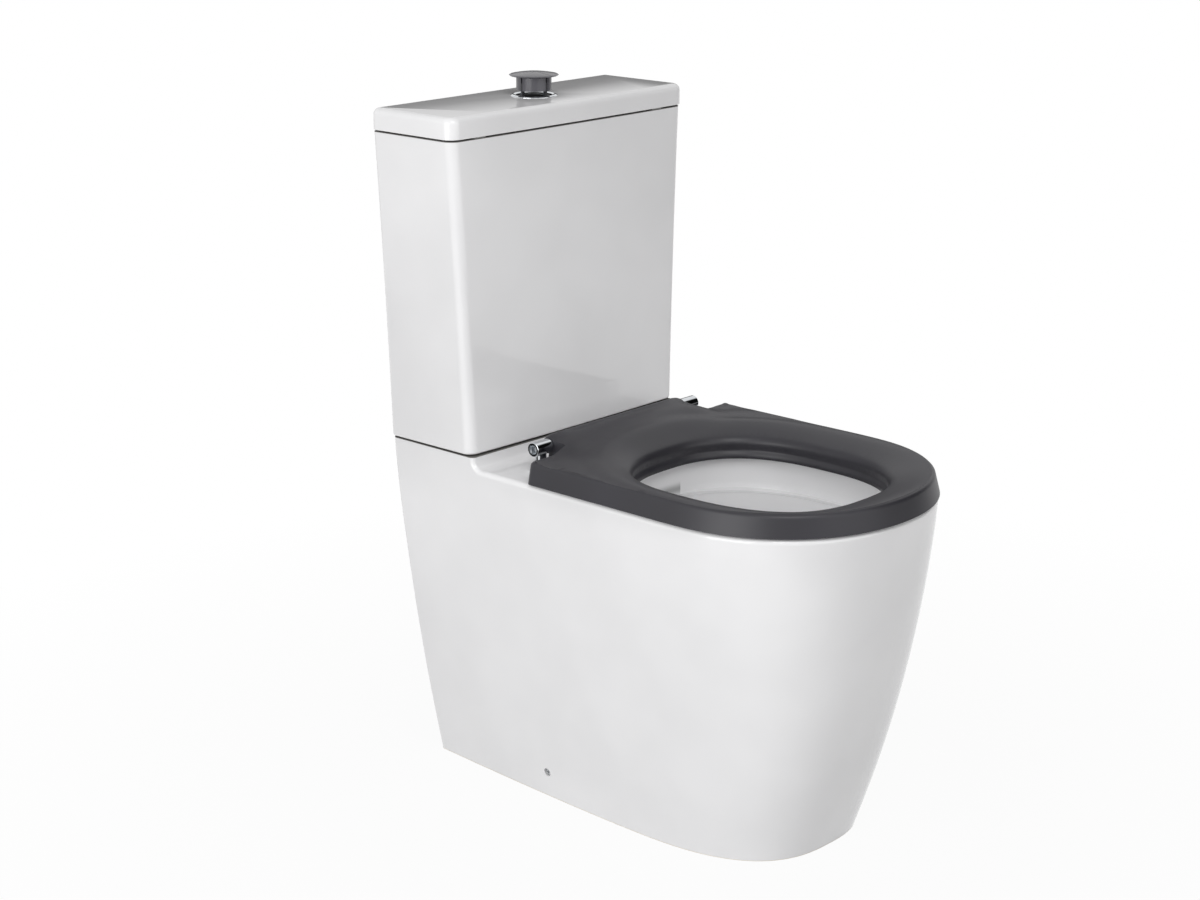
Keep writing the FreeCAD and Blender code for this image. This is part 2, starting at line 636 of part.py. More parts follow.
def top_cutter(drop):
    """Everything above the seat's top and inside its opening, lowered by drop."""
    rings = [top_ring(0, SEAT_TOP_Z - z + drop) for z in (SEAT_Z - 60, SEAT_Z - 40, SEAT_Z - 20, SEAT_Z - 4)]
    roll = ROLL_R / (DISH_HALF - SEAT_OPEN_HALF)
    for degrees in (0, 25, 50, 72):
        turn = math.radians(degrees)
        share = roll * (1 - math.cos(turn))
        rings.append(top_ring(share, dish_depth(share) + ROLL_R * (1 - math.sin(turn)) + drop))
    for share in (0.22, 0.42, 0.62, 0.82, 1.0):
        rings.append(top_ring(share, dish_depth(share) + drop))
    for share in (1.3, 1.7, 2.2, 2.8):
        rings.append(top_ring(share, 0.3 + drop))
    for share in (3.2, 3.6, 4.0, 4.4):
        rings.append(top_ring(share, drop - 30 * (share - 2.8) ** 2))
    return Part.makeLoft(rings, True, False)


def knuckle():
    """Round hinge knuckle across the back, thinner at its ends where the raised back falls away."""
    right = []
    for x in (HUMP_HALF - HUMP_FLANK, (HUMP_HALF - HUMP_FLANK + KNUCKLE_HALF) / 2, KNUCKLE_HALF):
        right.append((x, KNUCKLE_R - HUMP_RISE + hump_rise(x, HINGE_DEPTH)))
    outline = [(-KNUCKLE_HALF, 0)] + [(-x, r) for x, r in reversed(right)] + right + [(KNUCKLE_HALF, 0)]
    points = [V(x, at(HINGE_DEPTH), HINGE_Z + r) for x, r in outline]
    face = Part.Face(Part.makePolygon(points + points[:1]))
    return face.revolve(V(0, at(HINGE_DEPTH), HINGE_Z), X_AXIS, 360)


def buffer_places():
    back = [(x, BUFFER_BACK_DEPTH) for x in (-BUFFER_BACK_X, BUFFER_BACK_X)]
    return back + [(x, BUFFER_FRONT_DEPTH) for x in (-BUFFER_FRONT_X, BUFFER_FRONT_X)]


def seat_block():
    """Outer form before its top is carved: drafted skirt, soft edge, and height for the raised back."""
    edge_z = SEAT_TOP_Z - SEAT_EDGE_R
    sections = [seat_section(0, 0, SEAT_Z)]
    for degrees in (0, 30, 60, 90):
        turn = math.radians(degrees)
        inset = SEAT_EDGE_R * (1 - math.cos(turn))
        sections.append(seat_section(1, inset, edge_z + SEAT_EDGE_R * math.sin(turn)))
    skirt = Part.makeLoft(sections, True, True)
    above = Part.Face(seat_section(1, SEAT_EDGE_R, SEAT_TOP_Z - 0.01)).extrude(V(0, 0, HUMP_RISE + 5))
    back = box(-KNUCKLE_HALF, KNUCKLE_HALF, HINGE_DEPTH, SEAT_BACK_DEPTH + 10, SEAT_TOP_Z - 14,
               SEAT_TOP_Z + HUMP_RISE + 5)
    return skirt.fuse([above, back])


def make_seat_ring():
    """Moulded seat: drafted skirt, dished top that rolls into the opening, hollow underside and knuckle."""
    top = top_cutter(0)
    room = Part.makeLoft([seat_section(0, SEAT_WALL, SEAT_Z - 1),
                          seat_section(1, SEAT_WALL, SEAT_TOP_Z - SEAT_WALL + 1)], True, True)
    room = room.cut(top_cutter(SEAT_WALL))
    lip = Part.Face(seat_oval(SEAT_WALL, SEAT_LIP_Z)).extrude(V(0, 0, SEAT_TOP_Z - SEAT_LIP_Z - 6))
    bosses = [rod(BUFFER_R + 3, x, depth, SEAT_Z, SEAT_TOP_Z - 2) for x, depth in buffer_places()]
    seat = seat_block().cut(room).fuse([lip] + bosses).cut(top)
    seat = seat.fuse(knuckle())
    cuts = []
    for x, depth in buffer_places():
        cuts.append(rod(BUFFER_R + 0.1, x, depth, SEAT_Z - 1, SEAT_Z + BUFFER_SOCKET))
    reach = KNUCKLE_HALF - PIN_REACH - 1
    cuts.append(cross_rod(PIN_R + RUNNING_GAP, reach, KNUCKLE_HALF + 5, HINGE_DEPTH, HINGE_Z))
    cuts.append(cross_rod(PIN_R + RUNNING_GAP, -KNUCKLE_HALF - 5, -reach, HINGE_DEPTH, HINGE_Z))
    return seat.cut(cuts)


def make_seat_buffers():
    """Rubber buffers in the seat's underside that rest on the rim."""
    return group([rod(BUFFER_R, x, depth, RIM_Z, SEAT_Z + BUFFER_SOCKET) for x, depth in buffer_places()])


def make_hinge_barrels():
    """Bright barrels with an open socket end, each on a round post with a flange on the deck."""
    outer_x = BARREL_INNER_X + BARREL_LENGTH
    barrel = cross_rod(BARREL_R, BARREL_INNER_X, outer_x, HINGE_DEPTH, HINGE_Z)
    barrel = barrel.makeFillet(0.8, [e for e in barrel.Edges if e.BoundBox.XLength < 0.01])
    post = spun([(0, RIM_Z), (12, RIM_Z), (12, RIM_Z + 1.5), (7.5, RIM_Z + 5), (7, RIM_Z + 9), (7, HINGE_Z),
                 (0, HINGE_Z)], BARREL_MID_X, HINGE_DEPTH)
    barrel = barrel.fuse(post)
    barrel = barrel.cut(cross_rod(BARREL_SOCKET_R, outer_x - 9, outer_x + 1, HINGE_DEPTH, HINGE_Z))
    barrel = barrel.cut(cross_rod(PIN_R + 0.02, BARREL_INNER_X - 1, outer_x, HINGE_DEPTH, HINGE_Z))
    barrel = barrel.cut(rod(STUD_R + 0.02, BARREL_MID_X, HINGE_DEPTH, RIM_Z - 1, RIM_Z + STUD_GRIP))
    return group(mirrored(barrel))


def make_hinge_pins():
    outer = BARREL_INNER_X + BARREL_LENGTH - 6
    pin = cross_rod(PIN_R, KNUCKLE_HALF - PIN_REACH, outer, HINGE_DEPTH, HINGE_Z)
    pin = pin.makeChamfer(0.6, [e for e in pin.Edges if e.BoundBox.XLength < 0.01])
    return group(mirrored(pin))


def make_hinge_studs():
    low = RIM_Z - PAN_WALL - 28
    return group(mirrored(rod(STUD_R, BARREL_MID_X, HINGE_DEPTH, low, RIM_Z + STUD_GRIP)))


def make_hinge_washers():
    """Rubber cone washers pulled up into the deck's holes from below."""
    under = RIM_Z - PAN_WALL - 1
    profile = [(STUD_R + 0.3, under - 4), (13, under - 4), (13, under), (STUD_HOLE_R - 0.3, under),
               (STUD_R + 1.6, under + 9), (STUD_R + 0.3, under + 9)]
    return group(mirrored(spun(profile, BARREL_MID_X, HINGE_DEPTH)))


def make_hinge_nuts():
    under = RIM_Z - PAN_WALL - 5
    nut = wing_nut(BARREL_MID_X, HINGE_DEPTH, under - 10, 8, 14, 10)
    return group(mirrored(nut.cut(rod(STUD_R + 0.1, BARREL_MID_X, HINGE_DEPTH, under - 11, under + 1))))


# ---- cistern and lid -------------------------------------------------------------------------------
def cistern_section(z, grow, corner, back):
    """Rounded rectangle with a slightly bowed front; its sides flare gently towards the top."""
    t = (z - CISTERN_Z) / (CISTERN_TOP_Z - CISTERN_Z)
    hollow = 4 * (CISTERN_MID_HALF - (CISTERN_LOW_HALF + CISTERN_TOP_HALF) / 2)
    half = blend(CISTERN_LOW_HALF, CISTERN_TOP_HALF, t) + hollow * t * (1 - t) + grow
    front = blend(CISTERN_LOW_DEPTH, CISTERN_TOP_DEPTH, t) - CISTERN_BOW + grow
    back_r = corner * 0.6
    lines = []
    sag = 1 - math.sqrt(0.5)
    a = V(-half + back_r, at(back), z)
    b = V(half - back_r, at(back), z)
    c = V(half, at(back + back_r), z)
    d = V(half, at(front - corner), z)
    e = V(half - corner, at(front), z)
    f = V(-half + corner, at(front), z)
    g = V(-half, at(front - corner), z)
    h = V(-half, at(back + back_r), z)
    lines.append(Part.makeLine(a, b))
    lines.append(Part.Arc(b, V(half - back_r * sag, at(back + back_r * sag), z), c).toShape())
    lines.append(Part.makeLine(c, d))
    lines.append(Part.Arc(d, V(half - corner * sag, at(front - corner * sag), z), e).toShape())
    lines.append(Part.Arc(e, V(0, at(front + CISTERN_BOW), z), f).toShape())
    lines.append(Part.Arc(f, V(-half + corner * sag, at(front - corner * sag), z), g).toShape())
    lines.append(Part.makeLine(g, h))
    lines.append(Part.Arc(h, V(-half + back_r * sag, at(back + back_r * sag), z), a).toShape())
    return Part.Wire(lines)


def cistern_prism(grow, corner, z0, z1):
    """Upright block with the outline of the cistern's top edge, grown by a margin."""
    outline = cistern_section(CISTERN_TOP_Z, grow, corner, max(-grow, 0))
    outline.translate(V(0, 0, z0 - CISTERN_TOP_Z))
    return Part.Face(outline).extrude(V(0, 0, z1 - z0))


def make_cistern():
    """Open-topped ceramic tank with holes for the flush valve, the two bolts and the inlet."""
    middle = (CISTERN_Z + CISTERN_TOP_Z) / 2
    outer = Part.makeLoft([cistern_section(z, 0, CISTERN_CORNER_R, -BACK_TRIM)
                           for z in (CISTERN_Z, middle, CISTERN_TOP_Z)], True, False)
    outer = outer.makeFillet(CISTERN_FOOT_R, [e for e in outer.Edges if e.BoundBox.ZMax < CISTERN_Z + 1])
    outer = outer.cut(box(-CLEAR, CLEAR, -BACK_TRIM - 5, 0, CISTERN_Z - 5, CISTERN_TOP_Z + 5))
    inner = Part.makeLoft([cistern_section(z, -CISTERN_WALL, CISTERN_CORNER_R - 3, CISTERN_WALL)
                           for z in (CISTERN_INSIDE_Z, middle, CISTERN_TOP_Z + 1)], True, False)
    holes = [rod(VALVE_TAIL_R + VALVE_HOLE_CLEARANCE, 0, BOLT_DEPTH, CISTERN_Z - 5, CISTERN_INSIDE_Z + 5)]
    for x in (-BOLT_HALF_SPACING, BOLT_HALF_SPACING):
        holes.append(rod(BOLT_HOLE_R, x, BOLT_DEPTH, CISTERN_Z - 5, CISTERN_INSIDE_Z + 5))
    holes.append(rod(INLET_R + 1.5, FILL_X, BOLT_DEPTH, CISTERN_Z - 5, CISTERN_INSIDE_Z + 5))
    return outer.cut([inner] + holes)


def make_cistern_lid():
    """Cast lid with a soft top edge, a hole for the button and a lip that drops inside the cistern."""
    lid = cistern_prism(LID_OVERHANG, CISTERN_CORNER_R + LID_OVERHANG, LID_Z, LID_TOP_Z)
    lid = lid.makeFillet(LID_TOP_R, [e for e in lid.Edges if e.BoundBox.ZMin > LID_TOP_Z - 1])
    inside = -CISTERN_WALL - LIP_GAP - LIP_WALL
    lip = cistern_prism(-CISTERN_WALL - LIP_GAP, CISTERN_CORNER_R - 3, CISTERN_TOP_Z - LIP_REACH, LID_Z + 1)
    room = cistern_prism(inside, CISTERN_CORNER_R - 6, CISTERN_TOP_Z - LIP_REACH - 1, LID_TOP_Z - LID_CROWN)
    hole = rod(RING_BORE_R + RING_SLEEVE_WALL + LID_HOLE_CLEARANCE, 0, BOLT_DEPTH, LID_Z - 20, LID_TOP_Z + 5)
    return lid.fuse(lip).cut([room, hole])


def corner_pads(half, front, size_x, size_d, z0, z1):
    """Four small pads near the corners."""
    pads = []
    for x in (-half, half - size_x):
        for depth in (CISTERN_WALL / 2 - size_d / 2, front):
            pads.append(box(x, x + size_x, depth, depth + size_d, z0, z1))
    return group(pads)


def make_lid_pads():
    """Thin rubber pads on the cistern's top edge that carry the lid."""
    front = CISTERN_TOP_DEPTH - CISTERN_BOW - CISTERN_WALL / 2 - 3
    return corner_pads(CISTERN_TOP_HALF - 40, front, 18, 6, CISTERN_TOP_Z, LID_Z)


def make_cistern_pads():
    """Rubber pads between the plinth and the cistern."""
    pads = []
    for x in (-104, 80):
        pads.append(box(x, x + 24, 40, 104, PLINTH_Z, CISTERN_Z).cut(
            rod(BOLT_HOLE_R, math.copysign(BOLT_HALF_SPACING, x), BOLT_DEPTH, PLINTH_Z - 1, CISTERN_Z + 1)))
    return group(pads)


def make_coupling_seal():
    """Doughnut washer squeezed between the cistern's outlet and the pan's inlet."""
    nut_r = VALVE_NUT_R + 0.6
    low = PLINTH_Z - 25
    step = CISTERN_Z - VALVE_NUT - 0.5
    profile = [(VALVE_TAIL_R + 1.2, low), (48, low), (48, CISTERN_Z), (nut_r, CISTERN_Z), (nut_r, step),
               (VALVE_TAIL_R + 1.2, step)]
    return spun(profile, 0, BOLT_DEPTH)


def make_cistern_bolts():
    bolts = []
    for x in (-BOLT_HALF_SPACING, BOLT_HALF_SPACING):
        shank = rod(BOLT_R, x, BOLT_DEPTH, PLINTH_Z - PAN_WALL - 26, CISTERN_INSIDE_Z + 4)
        head = rod(9, x, BOLT_DEPTH, CISTERN_INSIDE_Z + 3, CISTERN_INSIDE_Z + 8)
        head = head.makeFillet(2.5, [e for e in head.Edges if e.BoundBox.ZMin > CISTERN_INSIDE_Z + 7])
        slot_z = CISTERN_INSIDE_Z + 6
        slot = box(x - 10, x + 10, BOLT_DEPTH - 0.8, BOLT_DEPTH + 0.8, slot_z, slot_z + 3)
        bolts.append(shank.fuse(head).cut(slot))
    return group(bolts)


def make_bolt_washers():
    """Rubber washers under the bolt heads, on the cistern's floor."""
    return group([tube(13, BOLT_R + 0.2, x, BOLT_DEPTH, CISTERN_INSIDE_Z, CISTERN_INSIDE_Z + 3)
                  for x in (-BOLT_HALF_SPACING, BOLT_HALF_SPACING)])


def make_cistern_nuts():
    top = PLINTH_Z - PAN_WALL - 1
    nuts = []
    for x in (-BOLT_HALF_SPACING, BOLT_HALF_SPACING):
        nut = wing_nut(x, BOLT_DEPTH, top - 12, 8, 15, 10).fuse(rod(10, x, BOLT_DEPTH, top - 2.2, top))
        nuts.append(nut.cut(rod(BOLT_R + 0.1, x, BOLT_DEPTH, top - 13, top + 1)))
    return group(nuts)


# ---- flush button ----------------------------------------------------------------------------------
def half_space(side):
    """Block covering one side of the button, up to half the split."""
    low, high = (BUTTON_SPLIT / 2, 60) if side > 0 else (-60, -BUTTON_SPLIT / 2)
    return box(low, high, BOLT_DEPTH - 60, BOLT_DEPTH + 60, LID_TOP_Z - 20, LID_TOP_Z + 60)


def button_ribs(width, foot_width, r0, r1, z0, z1):
    """Four upright ribs, front, back and sides, that widen at the foot."""
    ribs = []
    flare = 3.0
    for turn in (0, 90, 180, 270):
        corners = [V(r0, -foot_width / 2, z0), V(r0, foot_width / 2, z0), V(r0, foot_width / 2, z0 + 0.8),
                   V(r0, width / 2, z0 + flare), V(r0, width / 2, z1), V(r0, -width / 2, z1),
                   V(r0, -width / 2, z0 + flare), V(r0, -foot_width / 2, z0 + 0.8)]
        rib = Part.Face(Part.makePolygon(corners + corners[:1])).extrude(V(r1 - r0, 0, 0))
        rib.rotate(V(0, 0, 0), Z_AXIS, turn)
        rib.translate(V(0, at(BOLT_DEPTH), 0))
        ribs.append(rib)
    return ribs


def make_button(side):
    """Half of the raised button: half the domed cap on half a hollow slotted barrel."""
    under = CAP_Z - CAP_EDGE
    top_r = CAP_R - 1.5
    profile = [(0, under), (BUTTON_R + 1, under), (CAP_R - 1.2, CAP_Z - CAP_LIP), (CAP_R, CAP_Z),
               (top_r, CAP_Z + CAP_LIP)]
    dome = []
    for step in range(1, 8):
        r = top_r * (1 - step / 8)
        dome.append((r, CAP_Z + CAP_LIP + (CAP_DOME - CAP_LIP) * (1 - (r / top_r) ** 2)))
    cap = spun(profile + dome + [(0, CAP_Z + CAP_DOME)], 0, BOLT_DEPTH)
    barrel = tube(BUTTON_R, BUTTON_R - BUTTON_WALL, 0, BOLT_DEPTH, BARREL_Z, CAP_Z - 1)
    button = cap.fuse(barrel)
    slot = RIB_WIDTH + 2 * RIB_CLEARANCE
    slots = button_ribs(slot, slot + RIB_FLARE, BUTTON_R - BUTTON_WALL - 1, BUTTON_R + 2, BARREL_Z - 2.4,
                        CAP_Z - CAP_EDGE - 0.2)
    holder = rod(ROD_R + 2, side * ROD_X, BOLT_DEPTH + side * ROD_OFFSET, CAP_Z - 12, CAP_Z)
    button = button.cut(slots).common(half_space(side)).fuse(holder)
    return button.cut(rod(ROD_R + 0.02, side * ROD_X, BOLT_DEPTH + side * ROD_OFFSET, CAP_Z - 13, CAP_Z - 3))


def make_push_rod(side):
    """Push rod from the button down to its lever."""
    low = LEVER_PIVOT_Z + LEVER_HALF_THICK + 0.5
    push = rod(ROD_R, side * ROD_X, BOLT_DEPTH + side * ROD_OFFSET, low, CAP_Z - 3)
    return push.makeChamfer(0.5, [e for e in push.Edges if e.BoundBox.ZLength < 0.01])


def make_button_carrier():
    """Fixed guide inside the ring: a foot ring with four thin ribs that run in the barrel's slots."""
    foot_z = LID_TOP_Z - 7
    inner = BUTTON_R - BUTTON_WALL - 1.6
    ring = tube(RING_BORE_R - 0.05, inner, 0, BOLT_DEPTH, foot_z, LID_TOP_Z - 1.2)
    rib_top = CAP_Z - CAP_EDGE - BUTTON_TRAVEL - 0.6
    ribs = button_ribs(RIB_WIDTH, RIB_WIDTH + RIB_FLARE, inner + 0.4, BUTTON_R - 0.1, LID_TOP_Z - 2, rib_top)
    return ring.fuse(ribs).removeSplitter()


def make_button_ring():
    """Bright ring in the lid: a thin domed flange on a sleeve that passes through the lid."""
    sleeve = RING_BORE_R + RING_SLEEVE_WALL
    profile = [(RING_BORE_R, LID_TOP_Z - RING_DROP), (sleeve, LID_TOP_Z - RING_DROP), (sleeve, LID_TOP_Z),
               (RING_R, LID_TOP_Z), (RING_R, LID_TOP_Z + 0.5), (RING_R - 2, LID_TOP_Z + RING_FLANGE),
               (sleeve + 1, LID_TOP_Z + RING_FLANGE), (RING_BORE_R, LID_TOP_Z + 0.4)]
    return spun(profile, 0, BOLT_DEPTH)


def make_button_nut():
    """Nut under the lid's crown that clamps the ring."""
    sleeve = RING_BORE_R + RING_SLEEVE_WALL
    top = LID_TOP_Z - LID_CROWN
    nut = rod(sleeve + 7, 0, BOLT_DEPTH, top - 7, top).cut(rod(sleeve + 0.1, 0, BOLT_DEPTH, top - 8, top + 1))
    grips = []
    for k in range(12):
        turn = k * math.pi / 6
        depth = BOLT_DEPTH + (sleeve + 8) * math.sin(turn)
        grips.append(rod(2, (sleeve + 8) * math.cos(turn), depth, top - 8, top + 1))
    return nut.cut(grips)


# ---- flush valve -----------------------------------------------------------------------------------
def make_flush_valve_base():
    """Threaded outlet with a flange on the cistern's floor, the seal's seat and four posts."""
    floor = CISTERN_INSIDE_Z
    deck = floor + VALVE_FLANGE
    tail_z = PLINTH_Z - VALVE_TAIL_DROP
    profile = [(VALVE_BORE_R, tail_z), (VALVE_TAIL_R, tail_z), (VALVE_TAIL_R, floor), (VALVE_FLANGE_R, floor),
               (VALVE_FLANGE_R, deck), (VALVE_BORE_R + 6, deck), (VALVE_BORE_R + 3, deck + VALVE_SEAT),
               (VALVE_BORE_R, deck + VALVE_SEAT)]
    base = spun(profile, 0, BOLT_DEPTH)
    posts = []
    for turn in (45, 135, 225, 315):
        post = Part.makeBox(7, 8, VALVE_WINDOW, V(TOWER_R - 7, -4, deck - 0.5))
        post.rotate(V(0, 0, 0), Z_AXIS, turn)
        post.translate(V(0, at(BOLT_DEPTH), 0))
        posts.append(post)
    crown = tube(TOWER_R, TOWER_R - 7, 0, BOLT_DEPTH, deck + VALVE_WINDOW - 1, deck + VALVE_WINDOW + 4)
    return base.fuse(posts + [crown]).removeSplitter()


def make_flush_valve_tower():
    """Slotted housing that stands on the base and guides the float."""
    low = CISTERN_INSIDE_Z + VALVE_FLANGE + VALVE_WINDOW + 4
    tower = tube(TOWER_R, TOWER_R - TOWER_WALL, 0, BOLT_DEPTH, low, TOWER_TOP_Z)
    slots = []
    for k in range(4):
        for z0 in (low + 20, low + 90):
            slot = Part.makeBox(20, 12, 55, V(TOWER_R - 10, -6, z0))
            slot.rotate(V(0, 0, 0), Z_AXIS, 90 * k + 45)
            slot.translate(V(0, at(BOLT_DEPTH), 0))
            slots.append(slot)
    return tower.cut(slots)


def make_flush_valve_head():
    """Cap of the tower with a hole for the overflow tube and an ear for each lever's pin."""
    head = rod(TOWER_R + 3, 0, BOLT_DEPTH, TOWER_TOP_Z - 8, TOWER_TOP_Z + 4)
    head = head.cut(rod(TOWER_R + 0.1, 0, BOLT_DEPTH, TOWER_TOP_Z - 9, TOWER_TOP_Z))
    ears = []
    for side in (-1, 1):
        outer = BOLT_DEPTH + side * (ROD_OFFSET + LEVER_WIDTH / 2 + 0.5)
        near, far = sorted((outer, outer + side * 4))
        pivot_x = side * (ROD_X - LEVER_ROD_ARM)
        ear = box(pivot_x - 6, pivot_x + 6, near + side * 3, far + side * 3, TOWER_TOP_Z + 3,
                  LEVER_PIVOT_Z + 5)
        ears.append(ear.cut(deep_rod(LEVER_PIN_R + 0.02, pivot_x, near - 10, far + 10, LEVER_PIVOT_Z)))
    return head.cut(rod(OVERFLOW_R + 1.3, 0, BOLT_DEPTH, TOWER_TOP_Z - 10, TOWER_TOP_Z + 10)).fuse(ears)


def lever_side(side):
    """Centre line of one lever: X of its pivot and its depth."""
    return side * (ROD_X - LEVER_ROD_ARM), BOLT_DEPTH + side * ROD_OFFSET


def make_lever(side):
    """Rocker pressed down by the push rod at one end so that the other end lifts."""
    pivot_x, depth = lever_side(side)
    outer = side * (ROD_X + 3)
    inner = pivot_x - side * (LEVER_LIFT_ARM + 2)
    low, high = sorted((outer, inner))
    lever = box(low, high, depth - LEVER_WIDTH / 2, depth + LEVER_WIDTH / 2, LEVER_PIVOT_Z - LEVER_HALF_THICK,
                LEVER_PIVOT_Z + LEVER_HALF_THICK)
    lever = lever.makeFillet(2.0, [e for e in lever.Edges if e.BoundBox.YLength > 1])
    hub = deep_rod(4, pivot_x, depth - LEVER_WIDTH / 2, depth + LEVER_WIDTH / 2, LEVER_PIVOT_Z)
    bore = deep_rod(LEVER_PIN_R + RUNNING_GAP, pivot_x, depth - 10, depth + 10, LEVER_PIVOT_Z)
    return lever.fuse(hub).cut(bore)


def make_lever_pins():
    pins = []
    for side in (-1, 1):
        pivot_x, depth = lever_side(side)
        inner = depth - side * LEVER_WIDTH / 2
        outer = depth + side * (LEVER_WIDTH / 2 + 7.5)
        near, far = sorted((inner, outer))
        pins.append(deep_rod(LEVER_PIN_R, pivot_x, near, far, LEVER_PIVOT_Z))
    return group(pins)


def seal_z():
    return CISTERN_INSIDE_Z + VALVE_FLANGE + VALVE_SEAT


def make_flush_seal():
    """Flat rubber seal that closes the outlet."""
    return tube(VALVE_BORE_R + 4, OVERFLOW_R + 0.02, 0, BOLT_DEPTH, seal_z(), seal_z() + 3)


def make_overflow_tube():
    """Overflow tube with the flange that holds the seal."""
    pipe = tube(OVERFLOW_R, OVERFLOW_R - OVERFLOW_WALL, 0, BOLT_DEPTH, seal_z(), OVERFLOW_TOP_Z)
    flange = tube(VALVE_BORE_R + 6, OVERFLOW_R - 1, 0, BOLT_DEPTH, seal_z() + 3, seal_z() + 7)
    return pipe.fuse(flange).removeSplitter()


def make_flush_float():
    """Hollow float cup clipped round the overflow tube inside the tower."""
    outer = TOWER_R - TOWER_WALL - 3
    profile = [(OVERFLOW_R + 0.02, 560), (outer - 4, 560), (outer, 566), (outer, 640), (outer - 2, 640),
               (outer - 2, 568), (OVERFLOW_R + 2, 568), (OVERFLOW_R + 2, 640), (OVERFLOW_R + 0.02, 640)]
    return spun(profile, 0, BOLT_DEPTH)


def make_lift_yoke():
    """Bridge and stem on the overflow tube with the bent arm that the full lever lifts."""
    arm_z = LEVER_PIVOT_Z + LEVER_HALF_THICK + 0.4
    bore = OVERFLOW_R - OVERFLOW_WALL
    bridge = box(-2.5, 2.5, BOLT_DEPTH - bore, BOLT_DEPTH + bore, OVERFLOW_TOP_Z - 8, OVERFLOW_TOP_Z)
    bridge = bridge.common(rod(bore - 0.05, 0, BOLT_DEPTH, OVERFLOW_TOP_Z - 9, OVERFLOW_TOP_Z + 1))
    stem = rod(3, 0, BOLT_DEPTH, OVERFLOW_TOP_Z - 4, arm_z + 1)
    reach = ROD_X - LEVER_ROD_ARM - LEVER_LIFT_ARM - 2
    arm = box(reach, 3, BOLT_DEPTH - 3, BOLT_DEPTH + 3, arm_z, arm_z + 3)
    far = BOLT_DEPTH + ROD_OFFSET + LEVER_WIDTH / 2
    paddle = box(reach, reach + 8, BOLT_DEPTH - 3, far, arm_z, arm_z + 3)
    return merged([bridge, stem, arm, paddle])


def make_flush_valve_nut():
    """Large backnut under the cistern's floor."""
    low = CISTERN_Z - VALVE_NUT
    nut = hexagon(VALVE_NUT_R, 0, BOLT_DEPTH, low, CISTERN_Z)
    return nut.cut(rod(VALVE_TAIL_R + 0.1, 0, BOLT_DEPTH, low - 1, CISTERN_Z + 1))


# ---- fill valve ------------------------------------------------------------------------------------
def make_fill_valve_body():
    """Inlet tail, flange on the cistern's floor and the upright tube."""
    floor = CISTERN_INSIDE_Z + INLET_WASHER
    low = CISTERN_Z - INLET_DROP
    nut_z = CISTERN_Z - INLET_NUT
    neck = INLET_R - INLET_RELIEF
    flange_r = neck + INLET_FLANGE
    profile = [(INLET_BORE_R, low), (INLET_R, low), (INLET_R, nut_z), (neck, nut_z), (neck, floor),
               (flange_r, floor), (flange_r, floor + 5), (FILL_TUBE_R, floor + 9),
               (FILL_TUBE_R, FILL_TOP_Z), (INLET_BORE_R, FILL_TOP_Z)]
    body = spun(profile, FILL_X, BOLT_DEPTH)
    outlet = deep_rod(6, FILL_X, BOLT_DEPTH + 8, BOLT_DEPTH + 24, FILL_TOP_Z - 14)
    outlet = outlet.fuse(rod(6, FILL_X, BOLT_DEPTH + 24, FILL_TOP_Z - 29, FILL_TOP_Z - 8))
    return body.fuse(outlet).cut(rod(4, FILL_X, BOLT_DEPTH + 24, FILL_TOP_Z - 30, FILL_TOP_Z - 12))


def arm_pivot():
    """X and Z of the float arm's pivot."""
    return FILL_X - FILL_ARM + FLOAT_ROD_OFFSET, FILL_TOP_Z + 30


def make_fill_valve_cap():
    """Cap on the fill valve with a bracket that carries the float arm's pivot."""
    x, z = arm_pivot()
    cap = rod(15, FILL_X, BOLT_DEPTH, FILL_TOP_Z, FILL_TOP_Z + 16)
    cap = cap.makeFillet(2.5, [e for e in cap.Edges if e.BoundBox.ZMin > FILL_TOP_Z + 15])
    base = box(x - 6, FILL_X - 5, BOLT_DEPTH - 9, BOLT_DEPTH + 9, FILL_TOP_Z + 2, FILL_TOP_Z + 9)
    ears = [box(x - 6, x + 6, depth, depth + 3, FILL_TOP_Z + 8, z + 6)
            for depth in (BOLT_DEPTH - 9, BOLT_DEPTH + 6)]
    cap = cap.fuse([base] + ears)
    return cap.cut(deep_rod(LEVER_PIN_R + 0.02, x, BOLT_DEPTH - 12, BOLT_DEPTH + 12, z))


def make_fill_arm_pin():
    x, z = arm_pivot()
    return deep_rod(LEVER_PIN_R, x, BOLT_DEPTH - 9, BOLT_DEPTH + 9, z)


def make_fill_valve_arm():
    """Float arm, built level and then turned down to where it rests with the float at its lowest."""
    x, z = arm_pivot()
    end = x + FILL_ARM
    arm = box(x - 5, end + 9, BOLT_DEPTH - 5, BOLT_DEPTH + 5, z - 2, z + 2)
    arm = arm.makeFillet(3, [e for e in arm.Edges if e.BoundBox.ZLength > 3])
    arm = arm.fuse(deep_rod(5, x, BOLT_DEPTH - 5.5, BOLT_DEPTH + 5.5, z))
    slot = box(end - 4.5, end + 4.5, BOLT_DEPTH - 3, BOLT_DEPTH + 3, z - 4, z + 4)
    arm = arm.cut([slot, deep_rod(LEVER_PIN_R + RUNNING_GAP, x, BOLT_DEPTH - 10, BOLT_DEPTH + 10, z)])
    arm.rotate(V(x, at(BOLT_DEPTH), z), Y_AXIS, ARM_DROP)
    return arm


